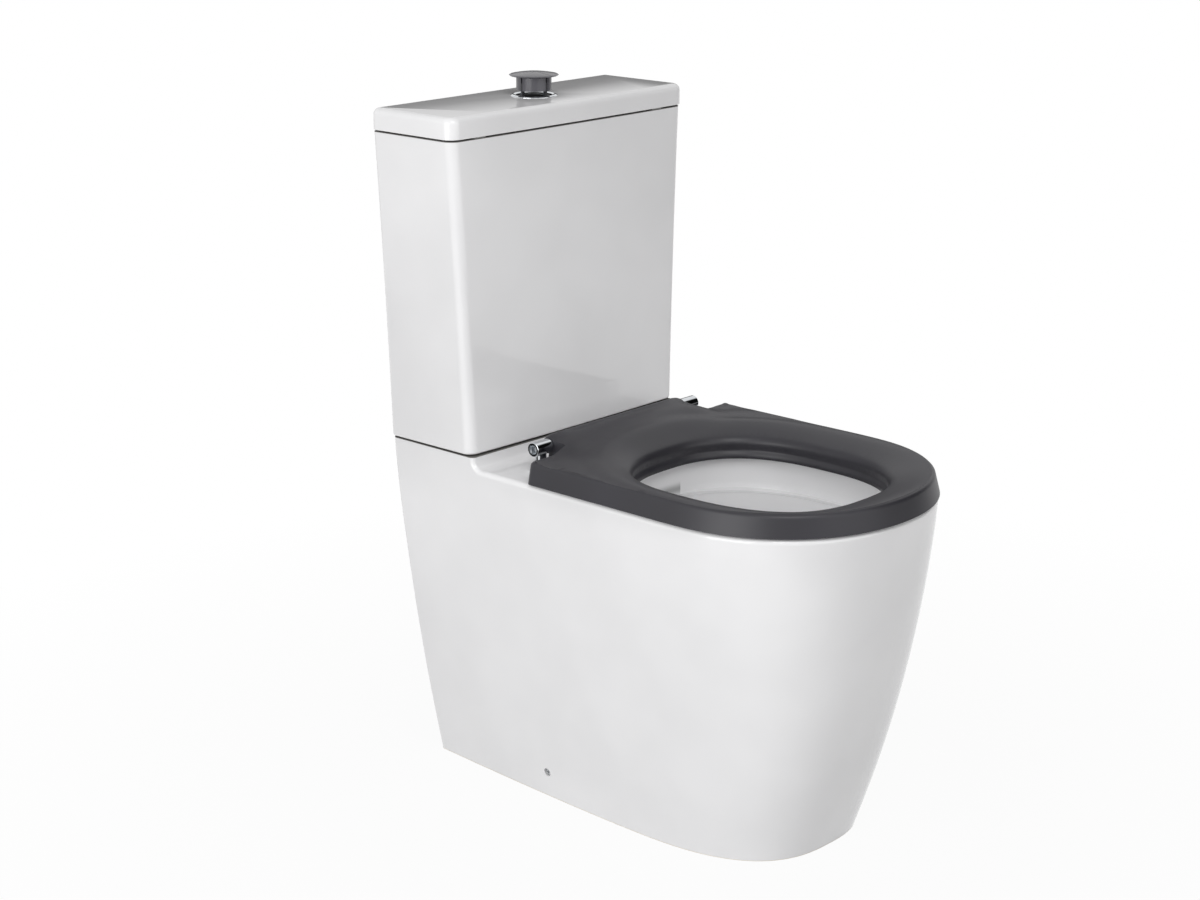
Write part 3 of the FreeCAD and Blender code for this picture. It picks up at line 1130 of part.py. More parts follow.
def make_fill_valve_float():
    """Float that slides up the fill valve's tube."""
    bore = FILL_TUBE_R + 1.2
    profile = [(bore, FLOAT_LOW_Z), (FLOAT_R - 3, FLOAT_LOW_Z), (FLOAT_R, FLOAT_LOW_Z + 3),
               (FLOAT_R, FLOAT_LOW_Z + FLOAT_HEIGHT - 3), (FLOAT_R - 3, FLOAT_LOW_Z + FLOAT_HEIGHT),
               (bore, FLOAT_LOW_Z + FLOAT_HEIGHT)]
    body = spun(profile, FILL_X, BOLT_DEPTH)
    top = FLOAT_LOW_Z + FLOAT_HEIGHT
    return body.cut(rod(2.02, FILL_X + FLOAT_ROD_OFFSET, BOLT_DEPTH, top - 10, top + 1))


def make_fill_float_rod():
    """Threaded rod that carries the float's movement up to the arm, with its two clips."""
    z = arm_pivot()[1]
    top = FLOAT_LOW_Z + FLOAT_HEIGHT
    rest_z = z - FILL_ARM * math.sin(math.radians(ARM_DROP))
    rod_body = rod(2, FILL_X + FLOAT_ROD_OFFSET, BOLT_DEPTH, top - 10, rest_z + 22)
    clips = [rod(4.6, FILL_X + FLOAT_ROD_OFFSET, BOLT_DEPTH, rest_z + offset, rest_z + offset + 3)
             for offset in (-8.5, 6)]
    return rod_body.fuse(clips)


def make_float_stop():
    """Clip ring on the tube that the float rests on when the cistern is empty."""
    return tube(FILL_TUBE_R + 5, FILL_TUBE_R + 0.02, FILL_X, BOLT_DEPTH, FLOAT_LOW_Z - 5, FLOAT_LOW_Z)


def make_inlet_washer():
    return tube(19, INLET_R + 0.1, FILL_X, BOLT_DEPTH, CISTERN_INSIDE_Z, CISTERN_INSIDE_Z + INLET_WASHER)


def make_inlet_nut():
    nut = hexagon(18, FILL_X, BOLT_DEPTH, CISTERN_Z - INLET_NUT, CISTERN_Z)
    return nut.cut(rod(INLET_R + 0.1, FILL_X, BOLT_DEPTH, CISTERN_Z - INLET_NUT - 1, CISTERN_Z + 1))


PIECES = {
    "pan": make_pan,
    "floor_brackets": make_floor_brackets,
    "side_bushes": make_side_bushes,
    "side_screws": make_side_screws,
    "seat_ring": make_seat_ring,
    "seat_buffers": make_seat_buffers,
    "hinge_barrels": make_hinge_barrels,
    "hinge_pins": make_hinge_pins,
    "hinge_studs": make_hinge_studs,
    "hinge_cone_washers": make_hinge_washers,
    "hinge_wing_nuts": make_hinge_nuts,
    "cistern": make_cistern,
    "cistern_lid": make_cistern_lid,
    "lid_pads": make_lid_pads,
    "cistern_pads": make_cistern_pads,
    "coupling_seal": make_coupling_seal,
    "cistern_bolts": make_cistern_bolts,
    "bolt_washers": make_bolt_washers,
    "cistern_wing_nuts": make_cistern_nuts,
    "full_flush_button": lambda: make_button(1),
    "half_flush_button": lambda: make_button(-1),
    "full_flush_rod": lambda: make_push_rod(1),
    "half_flush_rod": lambda: make_push_rod(-1),
    "button_carrier": make_button_carrier,
    "button_ring": make_button_ring,
    "button_nut": make_button_nut,
    "flush_valve_base": make_flush_valve_base,
    "flush_valve_tower": make_flush_valve_tower,
    "flush_valve_head": make_flush_valve_head,
    "full_flush_lever": lambda: make_lever(1),
    "half_flush_lever": lambda: make_lever(-1),
    "lever_pins": make_lever_pins,
    "overflow_tube": make_overflow_tube,
    "flush_seal": make_flush_seal,
    "flush_float": make_flush_float,
    "lift_yoke": make_lift_yoke,
    "flush_valve_nut": make_flush_valve_nut,
    "fill_valve_body": make_fill_valve_body,
    "fill_valve_cap": make_fill_valve_cap,
    "fill_arm_pin": make_fill_arm_pin,
    "fill_valve_arm": make_fill_valve_arm,
    "fill_valve_float": make_fill_valve_float,
    "fill_float_rod": make_fill_float_rod,
    "float_stop": make_float_stop,
    "inlet_washer": make_inlet_washer,
    "inlet_nut": make_inlet_nut,
}

os.makedirs("parts", exist_ok=True)
for node, make in PIECES.items():
    make().exportStep("parts/" + node + ".step")
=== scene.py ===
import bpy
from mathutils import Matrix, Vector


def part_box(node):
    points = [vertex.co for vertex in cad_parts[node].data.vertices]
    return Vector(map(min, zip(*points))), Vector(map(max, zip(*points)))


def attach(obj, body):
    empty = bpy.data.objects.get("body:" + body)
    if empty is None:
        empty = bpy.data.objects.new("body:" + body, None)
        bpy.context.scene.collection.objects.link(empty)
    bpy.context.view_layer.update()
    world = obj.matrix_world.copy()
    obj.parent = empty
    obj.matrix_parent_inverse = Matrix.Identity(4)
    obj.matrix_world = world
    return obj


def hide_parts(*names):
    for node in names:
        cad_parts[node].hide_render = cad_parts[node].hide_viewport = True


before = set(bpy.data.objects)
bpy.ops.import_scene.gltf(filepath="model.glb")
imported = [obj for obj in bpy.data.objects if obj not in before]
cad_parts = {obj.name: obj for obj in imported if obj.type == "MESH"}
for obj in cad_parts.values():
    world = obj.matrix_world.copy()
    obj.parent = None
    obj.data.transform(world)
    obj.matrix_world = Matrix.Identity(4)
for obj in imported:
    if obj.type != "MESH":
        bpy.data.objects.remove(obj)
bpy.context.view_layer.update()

import math
import bmesh
import bpy
from mathutils import Vector

# ---- studio --------------------------------------------------------------------------------------
# A seamless white sweep with three soft boxes: the key stands to the left of the camera, and weaker
# ones to the right and overhead. A low sky fills the rest, and the floor keeps a faint shadow.


def linear(hex_colour):
    """An sRGB hex colour as linear RGBA."""
    channels = [int(hex_colour[i:i + 2], 16) / 255 for i in (0, 2, 4)]
    return tuple(c / 12.92 if c <= 0.04045 else ((c + 0.055) / 1.055) ** 2.4 for c in channels) + (1.0,)


def add(tree, kind, links=None, **settings):
    """Adds a node with its settings; links maps an input to a value or to another node's output."""
    node = tree.nodes.new(kind)
    for name, value in settings.items():
        setattr(node, name, value)
    for name, value in (links or {}).items():
        if isinstance(value, bpy.types.NodeSocket):
            tree.links.new(value, node.inputs[name])
        else:
            node.inputs[name].default_value = value
    return node


def new_material(name):
    """An empty node material and its tree."""
    material = bpy.data.materials.new(name)
    material.use_nodes = True
    material.node_tree.nodes.clear()
    return material, material.node_tree


FLOOR_HALF = 30.0
FLOOR_Z = -0.0005             # just under the foot, so that the two faces don't fight
SHEET_WHITE = 0.95            # share of plain white in the sheet round the object; the rest takes its shadow
SHEET_NEAR = 0.4              # where the sheet starts to turn plain white, and where it is
SHEET_FAR = 1.3
FILL_STRENGTH = 0.42          # what the sky gives as light; where it is seen or mirrored, it is white


def seen_directly(tree):
    """1 for rays that see or mirror a surface, or look through glass at it, and 0 for its light on others."""
    rays = add(tree, "ShaderNodeLightPath")
    direct = add(tree, "ShaderNodeMath", {
        0: rays.outputs["Is Camera Ray"], 1: rays.outputs["Is Transmission Ray"]}, operation="MAXIMUM")
    return add(tree, "ShaderNodeMath", {0: direct.outputs[0], 1: rays.outputs["Is Glossy Ray"]},
               operation="MAXIMUM").outputs[0]


def studio_sky():
    """A world that lights softly and shows as plain white."""
    world = bpy.data.worlds.new("studio_sky")
    bpy.context.scene.world = world
    world.use_nodes = True
    tree = world.node_tree
    tree.nodes.clear()
    fill = add(tree, "ShaderNodeBackground", {"Color": linear("f6f5f5"), "Strength": FILL_STRENGTH})
    white = add(tree, "ShaderNodeBackground", {"Color": (1, 1, 1, 1), "Strength": 1.0})
    choice = add(tree, "ShaderNodeMixShader", {
        0: seen_directly(tree), 1: fill.outputs[0], 2: white.outputs[0]})
    add(tree, "ShaderNodeOutputWorld", {"Surface": choice.outputs[0]})


def sweep_paper():
    """White paper: it takes the shadow near the object and turns plain white away from it."""
    material, tree = new_material("white_sweep")
    place = add(tree, "ShaderNodeTexCoord")
    distance = add(tree, "ShaderNodeVectorMath", {0: place.outputs["Object"]}, operation="LENGTH")
    whiteness = add(tree, "ShaderNodeMapRange", {
        "Value": distance.outputs["Value"], "From Min": SHEET_NEAR, "From Max": SHEET_FAR,
        "To Min": SHEET_WHITE, "To Max": 1.0})
    amount = add(tree, "ShaderNodeMath", {0: seen_directly(tree), 1: whiteness.outputs["Result"]},
                 operation="MULTIPLY")
    paper = add(tree, "ShaderNodeBsdfDiffuse", {"Color": linear("c8c8c8")})
    glow = add(tree, "ShaderNodeEmission", {"Color": (1, 1, 1, 1), "Strength": 1.0})
    mix = add(tree, "ShaderNodeMixShader", {0: amount.outputs[0], 1: paper.outputs[0], 2: glow.outputs[0]})
    add(tree, "ShaderNodeOutputMaterial", {"Surface": mix.outputs[0]})
    return material


studio_sky()
sheet = bmesh.new()
bmesh.ops.create_grid(sheet, x_segments=1, y_segments=1, size=FLOOR_HALF)
floor_mesh = bpy.data.meshes.new("studio_floor")
sheet.to_mesh(floor_mesh)
sheet.free()
floor = bpy.data.objects.new("studio_floor", floor_mesh)
bpy.context.scene.collection.objects.link(floor)
floor_mesh.materials.append(sweep_paper())
floor.location.z = FLOOR_Z


def soft_box(name, place, target, width, height, power):
    """A rectangular area light at place that faces target."""
    lamp = bpy.data.lights.new(name, "AREA")
    lamp.shape = "RECTANGLE"
    lamp.size = width
    lamp.size_y = height
    lamp.energy = power
    holder = bpy.data.objects.new(name, lamp)
    holder.location = place
    holder.rotation_euler = (Vector(target) - Vector(place)).to_track_quat("-Z", "Y").to_euler()
    bpy.context.scene.collection.objects.link(holder)


soft_box("key_left", (-3.1, -0.2, 1.15), (0, 0, 0.45), 2.2, 2.2, 47)
soft_box("front", (0.2, -3.6, 1.4), (0, 0, 0.6), 3.0, 2.2, 18)
soft_box("overhead", (-1.2, -1.7, 2.7), (0, 0, 0.4), 1.2, 1.2, 22)


def duvetyne():
    """Black stage cloth that fades out towards the card's edge, so that its reflection has no hard line."""
    material, tree = new_material("duvetyne_black")
    place = add(tree, "ShaderNodeTexCoord")
    reach = add(tree, "ShaderNodeVectorMath", {0: place.outputs["Object"]}, operation="LENGTH")
    edge = add(tree, "ShaderNodeMapRange", {"Value": reach.outputs["Value"], "From Min": 0.3, "From Max": 0.5,
                                            "To Min": 1.0, "To Max": 0.0})
    cloth = add(tree, "ShaderNodeBsdfDiffuse", {"Color": linear("141414")})
    gap = add(tree, "ShaderNodeBsdfTransparent")
    soft = add(tree, "ShaderNodeMixShader", {
        0: edge.outputs["Result"], 1: gap.outputs[0], 2: cloth.outputs[0]})
    add(tree, "ShaderNodeOutputMaterial", {"Surface": soft.outputs[0]})
    return material


def black_flag(name, place, target, width, height):
    """A black card that only reflections show, as chrome and dark gloss need an edge to show."""
    card = bmesh.new()
    bmesh.ops.create_grid(card, x_segments=1, y_segments=1, size=0.5)
    mesh = bpy.data.meshes.new(name)
    card.to_mesh(mesh)
    card.free()
    mesh.materials.append(flag_black)
    flag = bpy.data.objects.new(name, mesh)
    flag.location = place
    flag.scale = (width, height, 1)
    flag.rotation_euler = (Vector(target) - Vector(place)).to_track_quat("-Z", "Y").to_euler()
    bpy.context.scene.collection.objects.link(flag)
    flag.visible_camera = False
    flag.visible_diffuse = False
    flag.visible_transmission = False
    flag.visible_shadow = False


flag_black = duvetyne()
black_flag("flag_behind", (2.6, 2.7, 0.75), (0, 0, 0.75), 4.4, 1.9)
black_flag("flag_left", (-1.6, 1.35, 0.03), (-1.6, 1.35, -1.0), 2.2, 2.2)
black_flag("flag_front", (-0.5, -1.9, 0.03), (-0.5, -1.9, -1.0), 4.4, 2.6)
black_flag("flag_right", (2.2, -1.4, 1.5), (0, 0, 0.5), 3.4, 3.6)

CAMERA_PLACE = Vector((-2.16335, -1.83373, 1.28584))
CAMERA_TURN = math.radians(47.6)
CAMERA_DIP = math.radians(16.36)
CAMERA_LENS = 72.15           # mm on a 36 mm sensor
CAMERA_SHIFT = (-0.0018, 0.00025)
camera_data = bpy.data.cameras.new("camera")
camera_data.sensor_width = 36.0
camera_data.lens = CAMERA_LENS
camera_data.shift_x, camera_data.shift_y = CAMERA_SHIFT
camera = bpy.data.objects.new("camera", camera_data)
camera.location = CAMERA_PLACE
camera.rotation_euler = (math.pi / 2 - CAMERA_DIP, 0, -CAMERA_TURN)
bpy.context.scene.collection.objects.link(camera)
bpy.context.scene.camera = camera
bpy.context.scene.view_settings.view_transform = "Standard"


# ---- ceramic: pan, cistern and lid ----------------------------------------------------------------
# Slip-cast vitreous china under a glassy white glaze. The glaze has a faint ripple about 9 mm long
# and pools slightly, so highlights waver softly. The pan's foot is wiped bare and shows cream biscuit;
# the faces of the joints are bare too, and painted dark grey as painted shade, so the joints look nearly
# black.
# A painted shadow darkens the glaze in the pan's bowl along the flushing shelf.
def smooth_copy(node, name, sharp_degrees, merge=0.00002):
    """A merged, smooth-shaded copy of a CAD node's mesh, creased where its faces turn sharply."""
    shape = bmesh.new()
    shape.from_mesh(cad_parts[node].data)
    bmesh.ops.remove_doubles(shape, verts=shape.verts, dist=merge)
    for face in shape.faces:
        face.smooth = True
    for edge in shape.edges:
        if len(edge.link_faces) == 2:
            edge.smooth = edge.calc_face_angle(0) < math.radians(sharp_degrees)
    mesh = bpy.data.meshes.new(name)
    shape.to_mesh(mesh)
    shape.free()
    piece = bpy.data.objects.new(name, mesh)
    bpy.context.scene.collection.objects.link(piece)
    return piece


def finished(piece, material, body, node):
    """Gives a piece its material and tells the frame what it rides on and stands for."""
    piece.data.materials.clear()
    piece.data.materials.append(material)
    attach(piece, body)
    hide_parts(node)


SHELF_SHADOW_Z = 0.388          # middle of the painted shadow line, just above the flushing shelf
SHELF_SHADOW_HALF = 0.011
BOWL_MIDDLE = (0.0, -0.117, SHELF_SHADOW_Z)
BOWL_REACH = (0.135, 0.165, 1.0)
BARE_DEPTH = 0.0005           # how far up from a foot, or down from a joint, the china is bare, and in a joint painted dark as shade
BISCUIT = "e4dccb"
JOINT_SHADE_GREY = "6e6c69"         # painted shade: bare china in a joint, drawn dark grey for the shadow in the gap


def painted_shelf_shadow(tree, where, colour):
    """The glaze's colour with a painted shadow: a slightly darker line along the flushing shelf, where the
    rim shades it.
    """
    centred = add(tree, "ShaderNodeVectorMath", {0: where.outputs["Object"], 1: BOWL_MIDDLE},
                  operation="SUBTRACT")
    shape = add(tree, "ShaderNodeVectorMath", {0: centred.outputs["Vector"], 1: BOWL_REACH},
                operation="DIVIDE")
    inside = add(tree, "ShaderNodeVectorMath", {0: shape.outputs["Vector"]}, operation="LENGTH")
    in_bowl = add(tree, "ShaderNodeMath", {0: inside.outputs["Value"], 1: 1.0}, operation="LESS_THAN")
    parts = add(tree, "ShaderNodeSeparateXYZ", {0: centred.outputs["Vector"]})
    off = add(tree, "ShaderNodeMath", {0: parts.outputs["Z"]}, operation="ABSOLUTE")
    shade = add(tree, "ShaderNodeMapRange", {
        "Value": off.outputs[0], "From Min": 0.0, "From Max": SHELF_SHADOW_HALF, "To Min": 1.0, "To Max": 0.0},
        interpolation_type="SMOOTHSTEP")
    amount = add(tree, "ShaderNodeMath", {0: shade.outputs["Result"], 1: in_bowl.outputs[0]},
                 operation="MULTIPLY")
    return add(tree, "ShaderNodeMix", {0: amount.outputs[0], 6: colour, 7: linear("aeafaf")},
               data_type="RGBA").outputs[2]


def glazed_china(node, foot_colour):
    """Glazed china for one casting. Its foot is bare and, where something stands on it, so is its top; faces
    in a joint are painted dark grey as painted shade.
    """
    material, tree = new_material("vitreous_china_white_glaze_" + node)
    where = add(tree, "ShaderNodeTexCoord")
    ripple = add(tree, "ShaderNodeTexNoise", {"Vector": where.outputs["Object"], "Scale": 1 / 0.009,
                                              "Detail": 1.5, "Roughness": 0.4})
    pooling = add(tree, "ShaderNodeTexNoise", {"Vector": where.outputs["Object"], "Scale": 1 / 0.14,
                                               "Detail": 2.0, "Roughness": 0.5})
    tint = add(tree, "ShaderNodeValToRGB", {"Fac": pooling.outputs["Fac"]})
    tint.color_ramp.elements[0].position = 0.35
    tint.color_ramp.elements[0].color = linear("eeeeef")
    tint.color_ramp.elements[1].position = 0.65
    tint.color_ramp.elements[1].color = linear("f3f3f4")
    # In the pan, a painted shadow darkens the glaze along the flushing shelf.
    glaze = painted_shelf_shadow(tree, where, tint.outputs["Color"]) if node == "pan" else tint.outputs["Color"]
    gloss = add(tree, "ShaderNodeMapRange", {"Value": pooling.outputs["Fac"], "To Min": 0.05, "To Max": 0.09})
    height = add(tree, "ShaderNodeSeparateXYZ", {0: where.outputs["Object"]})
    low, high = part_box(node)
    under = add(tree, "ShaderNodeMapRange", {
        "Value": height.outputs["Z"], "From Min": low[2] + BARE_DEPTH, "From Max": low[2] + 2 * BARE_DEPTH,
        "To Min": 1.0, "To Max": 0.0})
    # Painted shade: the tops that the cistern and lid stand on, and the feet of cistern and lid, are coloured
    # dark grey for the shadow in the gap.
    on_top = add(tree, "ShaderNodeMapRange", {
        "Value": height.outputs["Z"], "From Min": high[2] - 2 * BARE_DEPTH, "From Max": high[2] - BARE_DEPTH})
    is_under_a_joint = 0.0 if node == "cistern_lid" else 1.0
    joint_shade = add(tree, "ShaderNodeMath", {0: on_top.outputs["Result"], 1: is_under_a_joint},
                  operation="MULTIPLY")
    with_foot_colour = add(tree, "ShaderNodeMix", {0: under.outputs["Result"], 6: glaze, 7: linear(foot_colour)},
               data_type="RGBA")
    coloured = add(tree, "ShaderNodeMix", {0: joint_shade.outputs[0], 6: with_foot_colour.outputs[2], 7: linear(JOINT_SHADE_GREY)},
                   data_type="RGBA")
    bare = add(tree, "ShaderNodeMath", {0: under.outputs["Result"], 1: joint_shade.outputs[0]},
               operation="MAXIMUM")
    dullness = add(tree, "ShaderNodeMix", {0: bare.outputs[0], 2: gloss.outputs["Result"], 3: 0.8})
    relief = add(tree, "ShaderNodeBump", {"Height": ripple.outputs["Fac"], "Strength": 0.25,
                                          "Distance": 0.00008})
    shader = add(tree, "ShaderNodeBsdfPrincipled", {
        "Base Color": coloured.outputs[2], "Roughness": dullness.outputs[0], "IOR": 1.52,
        "Normal": relief.outputs["Normal"]})
    add(tree, "ShaderNodeOutputMaterial", {"Surface": shader.outputs[0]})
    return material


# The cistern's and lid's feet sit in joints and take the painted shade grey; the pan's foot shows biscuit.
for node, piece_name, foot_colour in (("pan", "pan_glazed", BISCUIT),
                                      ("cistern", "cistern_glazed", JOINT_SHADE_GREY),
                                      ("cistern_lid", "lid_glazed", JOINT_SHADE_GREY)):
    finished(smooth_copy(node, piece_name, 28), glazed_china(node, foot_colour), "toilet", node)


# ---- seat ring and its buffers ---------------------------------------------------------------------
# Single seat ring pressed in anthracite thermoset. The mould leaves a satin skin with a very fine
# grain, drawn coarser here so that it shows, and a few faint rub marks where people sit.
def moulded_thermoset():
    """Satin anthracite with a fine mould grain and faintly worn patches."""
    material, tree = new_material("thermoset_anthracite_moulded")
    where = add(tree, "ShaderNodeTexCoord")
    grain = add(tree, "ShaderNodeTexNoise", {"Vector": where.outputs["Object"], "Scale": 1 / 0.0012,
                                             "Detail": 2.0})
    wear = add(tree, "ShaderNodeTexNoise", {"Vector": where.outputs["Object"], "Scale": 1 / 0.09,
                                            "Detail": 3.0})
    tint = add(tree, "ShaderNodeValToRGB", {"Fac": wear.outputs["Fac"]})
    tint.color_ramp.elements[0].position = 0.3
    tint.color_ramp.elements[0].color = linear("29282d")
    tint.color_ramp.elements[1].position = 0.7
    tint.color_ramp.elements[1].color = linear("2d2c32")
    gloss = add(tree, "ShaderNodeMapRange", {"Value": wear.outputs["Fac"], "To Min": 0.38, "To Max": 0.44})
    relief = add(tree, "ShaderNodeBump", {"Height": grain.outputs["Fac"], "Strength": 0.12,
                                          "Distance": 0.00005})
    shader = add(tree, "ShaderNodeBsdfPrincipled", {
        "Base Color": tint.outputs["Color"], "Roughness": gloss.outputs["Result"], "IOR": 1.46,
        "Normal": relief.outputs["Normal"]})
    add(tree, "ShaderNodeOutputMaterial", {"Surface": shader.outputs[0]})
    return material


finished(smooth_copy("seat_ring", "seat_moulding", 35), moulded_thermoset(), "seat", "seat_ring")


# The four buffers are black natural rubber, matt with a dusty bloom and fine moulding pimples.
def rubber(name, dark, bloom, roughness):
    """Matt rubber between its own colour and that of its bloom."""
    material, tree = new_material(name)
    where = add(tree, "ShaderNodeTexCoord")
    dust = add(tree, "ShaderNodeTexNoise", {"Vector": where.outputs["Object"], "Scale": 1 / 0.006,
                                            "Detail": 4.0})
    pimples = add(tree, "ShaderNodeTexNoise", {"Vector": where.outputs["Object"], "Scale": 1 / 0.0008,
                                               "Detail": 1.0})
    tint = add(tree, "ShaderNodeValToRGB", {"Fac": dust.outputs["Fac"]})
    tint.color_ramp.elements[0].position = 0.35
    tint.color_ramp.elements[0].color = linear(dark)
    tint.color_ramp.elements[1].position = 0.75
    tint.color_ramp.elements[1].color = linear(bloom)
    relief = add(tree, "ShaderNodeBump", {"Height": pimples.outputs["Fac"], "Strength": 0.4,
                                          "Distance": 0.0001})
    shader = add(tree, "ShaderNodeBsdfPrincipled", {
        "Base Color": tint.outputs["Color"], "Roughness": roughness, "IOR": 1.52,
        "Normal": relief.outputs["Normal"]})
    add(tree, "ShaderNodeOutputMaterial", {"Surface": shader.outputs[0]})
    return material


def dress(nodes, material):
    """Gives CAD nodes a finish and leaves their shape as it is."""
    for node in nodes:
        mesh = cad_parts[node].data
        mesh.materials.clear()
        mesh.materials.append(material)


black_rubber = rubber("natural_rubber_black", "1d1d1e", "2a2a2b", 0.75)
dress(["seat_buffers"], black_rubber)


# ---- seat hinges -----------------------------------------------------------------------------------
# Two chromed die-cast barrels on round posts, each with an open socket end. The plating is a mirror
# with a slight haze left by polishing. The pins, studs and screws are turned stainless steel.
def polished_chrome():
    """Bright plating with a slight haze and the faintest unevenness."""
    material, tree = new_material("chrome_plated_zinc_polished")
    where = add(tree, "ShaderNodeTexCoord")
    haze = add(tree, "ShaderNodeTexNoise", {"Vector": where.outputs["Object"], "Scale": 1 / 0.004,
                                            "Detail": 3.0})
    orange_peel = add(tree, "ShaderNodeTexNoise", {"Vector": where.outputs["Object"], "Scale": 1 / 0.0025,
                                                   "Detail": 1.0})
    gloss = add(tree, "ShaderNodeMapRange", {"Value": haze.outputs["Fac"], "To Min": 0.03, "To Max": 0.09})
    relief = add(tree, "ShaderNodeBump", {"Height": orange_peel.outputs["Fac"], "Strength": 0.15,
                                          "Distance": 0.00003})
    shader = add(tree, "ShaderNodeBsdfPrincipled", {
        "Base Color": linear("d2d5d8"), "Metallic": 1.0, "Roughness": gloss.outputs["Result"],
        "Normal": relief.outputs["Normal"]})
    add(tree, "ShaderNodeOutputMaterial", {"Surface": shader.outputs[0]})
    return material


def turned_steel(name, along, pitch):
    """Stainless bar turned along one axis; with a pitch in metres it shows thread ridges as well."""
    material, tree = new_material(name)
    where = add(tree, "ShaderNodeTexCoord")
    stretch = add(tree, "ShaderNodeMapping", {"Vector": where.outputs["Object"], "Scale": along})
    tool_marks = add(tree, "ShaderNodeTexNoise", {"Vector": stretch.outputs["Vector"], "Scale": 60.0,
                                                  "Detail": 3.0})
    tint = add(tree, "ShaderNodeValToRGB", {"Fac": tool_marks.outputs["Fac"]})
    tint.color_ramp.elements[0].position = 0.3
    tint.color_ramp.elements[0].color = linear("a4a6a8")
    tint.color_ramp.elements[1].position = 0.7
    tint.color_ramp.elements[1].color = linear("bfc1c3")
    gloss = add(tree, "ShaderNodeMapRange", {"Value": tool_marks.outputs["Fac"], "To Min": 0.22,
                                             "To Max": 0.38})
    if pitch:
        ridge = add(tree, "ShaderNodeTexWave", {
            "Vector": where.outputs["Object"], "Scale": math.pi / 10 / pitch},
            wave_type="BANDS", bands_direction="Z")
        relief = add(tree, "ShaderNodeBump", {"Height": ridge.outputs["Fac"], "Strength": 1.0,
                                              "Distance": 0.0004})
    else:
        relief = add(tree, "ShaderNodeBump", {"Height": tool_marks.outputs["Fac"], "Strength": 0.2,
                                              "Distance": 0.00005})
    shader = add(tree, "ShaderNodeBsdfPrincipled", {
        "Base Color": tint.outputs["Color"], "Metallic": 1.0, "Roughness": gloss.outputs["Result"],
        "Normal": relief.outputs["Normal"]})
    add(tree, "ShaderNodeOutputMaterial", {"Surface": shader.outputs[0]})
    return material


# Nylon is off-white and slightly waxy, with faint swirls where it flowed into the mould.
def moulded_plastic(name, deep, with_foot_colour, roughness, flow=0.012):
    """Moulded plastic between two close colours, in swirls about flow metres wide."""
    material, tree = new_material(name)
    where = add(tree, "ShaderNodeTexCoord")
    swirl = add(tree, "ShaderNodeTexNoise", {"Vector": where.outputs["Object"], "Scale": 1 / flow,
                                             "Detail": 3.0, "Distortion": 0.8})
    sparks = add(tree, "ShaderNodeTexNoise", {"Vector": where.outputs["Object"], "Scale": 1 / 0.0006,
                                              "Detail": 1.0})
    tint = add(tree, "ShaderNodeValToRGB", {"Fac": swirl.outputs["Fac"]})
    tint.color_ramp.elements[0].position = 0.35
    tint.color_ramp.elements[0].color = linear(deep)
    tint.color_ramp.elements[1].position = 0.65
    tint.color_ramp.elements[1].color = linear(with_foot_colour)
    gloss = add(tree, "ShaderNodeMapRange", {"Value": swirl.outputs["Fac"], "To Min": roughness - 0.04,
                                             "To Max": roughness + 0.04})
    relief = add(tree, "ShaderNodeBump", {"Height": sparks.outputs["Fac"], "Strength": 0.25,
                                          "Distance": 0.00006})
    shader = add(tree, "ShaderNodeBsdfPrincipled", {
        "Base Color": tint.outputs["Color"], "Roughness": gloss.outputs["Result"], "IOR": 1.5,
        "Normal": relief.outputs["Normal"]})
    add(tree, "ShaderNodeOutputMaterial", {"Surface": shader.outputs[0]})
    return material


chrome = polished_chrome()
steel_across = turned_steel("stainless_steel_turned_across", (9.0, 1.0, 1.0), 0)
steel_upright = turned_steel("stainless_steel_threaded", (1.0, 1.0, 9.0), 0.00125)
nylon = moulded_plastic("nylon_natural_moulded", "dcd8cb", "e6e3d8", 0.45)
seal_rubber = rubber("epdm_rubber_dark_grey", "2e2e30", "3c3c3e", 0.7)
barrels = smooth_copy("hinge_barrels", "hinge_barrels_chromed", 30)
finished(barrels, chrome, "toilet", "hinge_barrels")
dress(["hinge_pins"], steel_across)
dress(["hinge_studs"], steel_upright)
dress(["hinge_cone_washers"], seal_rubber)
dress(["hinge_wing_nuts"], nylon)


# ---- fixings between cistern, lid and pan ------------------------------------------------------------
# Threaded steel bolts with nylon wing nuts clamp the cistern on a soft rubber doughnut. Pale cellular
# rubber pads, cut from sheet, keep china off china; their cut face shows small open cells.
def cellular_rubber():
    """Pale sheet rubber with small open cells on its cut face."""
    material, tree = new_material("cellular_rubber_pale_grey")
    where = add(tree, "ShaderNodeTexCoord")
    cells = add(tree, "ShaderNodeTexVoronoi", {"Vector": where.outputs["Object"], "Scale": 1 / 0.0011})
    tint = add(tree, "ShaderNodeValToRGB", {"Fac": cells.outputs["Distance"]})
    tint.color_ramp.elements[0].position = 0.05
    tint.color_ramp.elements[0].color = linear("8d8d8b")
    tint.color_ramp.elements[1].position = 0.4
    tint.color_ramp.elements[1].color = linear("c3c3c0")
    relief = add(tree, "ShaderNodeBump", {"Height": cells.outputs["Distance"], "Strength": 0.6,
                                          "Distance": 0.0003})
    shader = add(tree, "ShaderNodeBsdfPrincipled", {
        "Base Color": tint.outputs["Color"], "Roughness": 0.85, "IOR": 1.5,
        "Normal": relief.outputs["Normal"]})
    add(tree, "ShaderNodeOutputMaterial", {"Surface": shader.outputs[0]})
    return material


dress(["lid_pads", "cistern_pads"], cellular_rubber())
dress(["coupling_seal", "bolt_washers"], seal_rubber)
dress(["cistern_bolts"], steel_upright)
dress(["cistern_wing_nuts"], nylon)


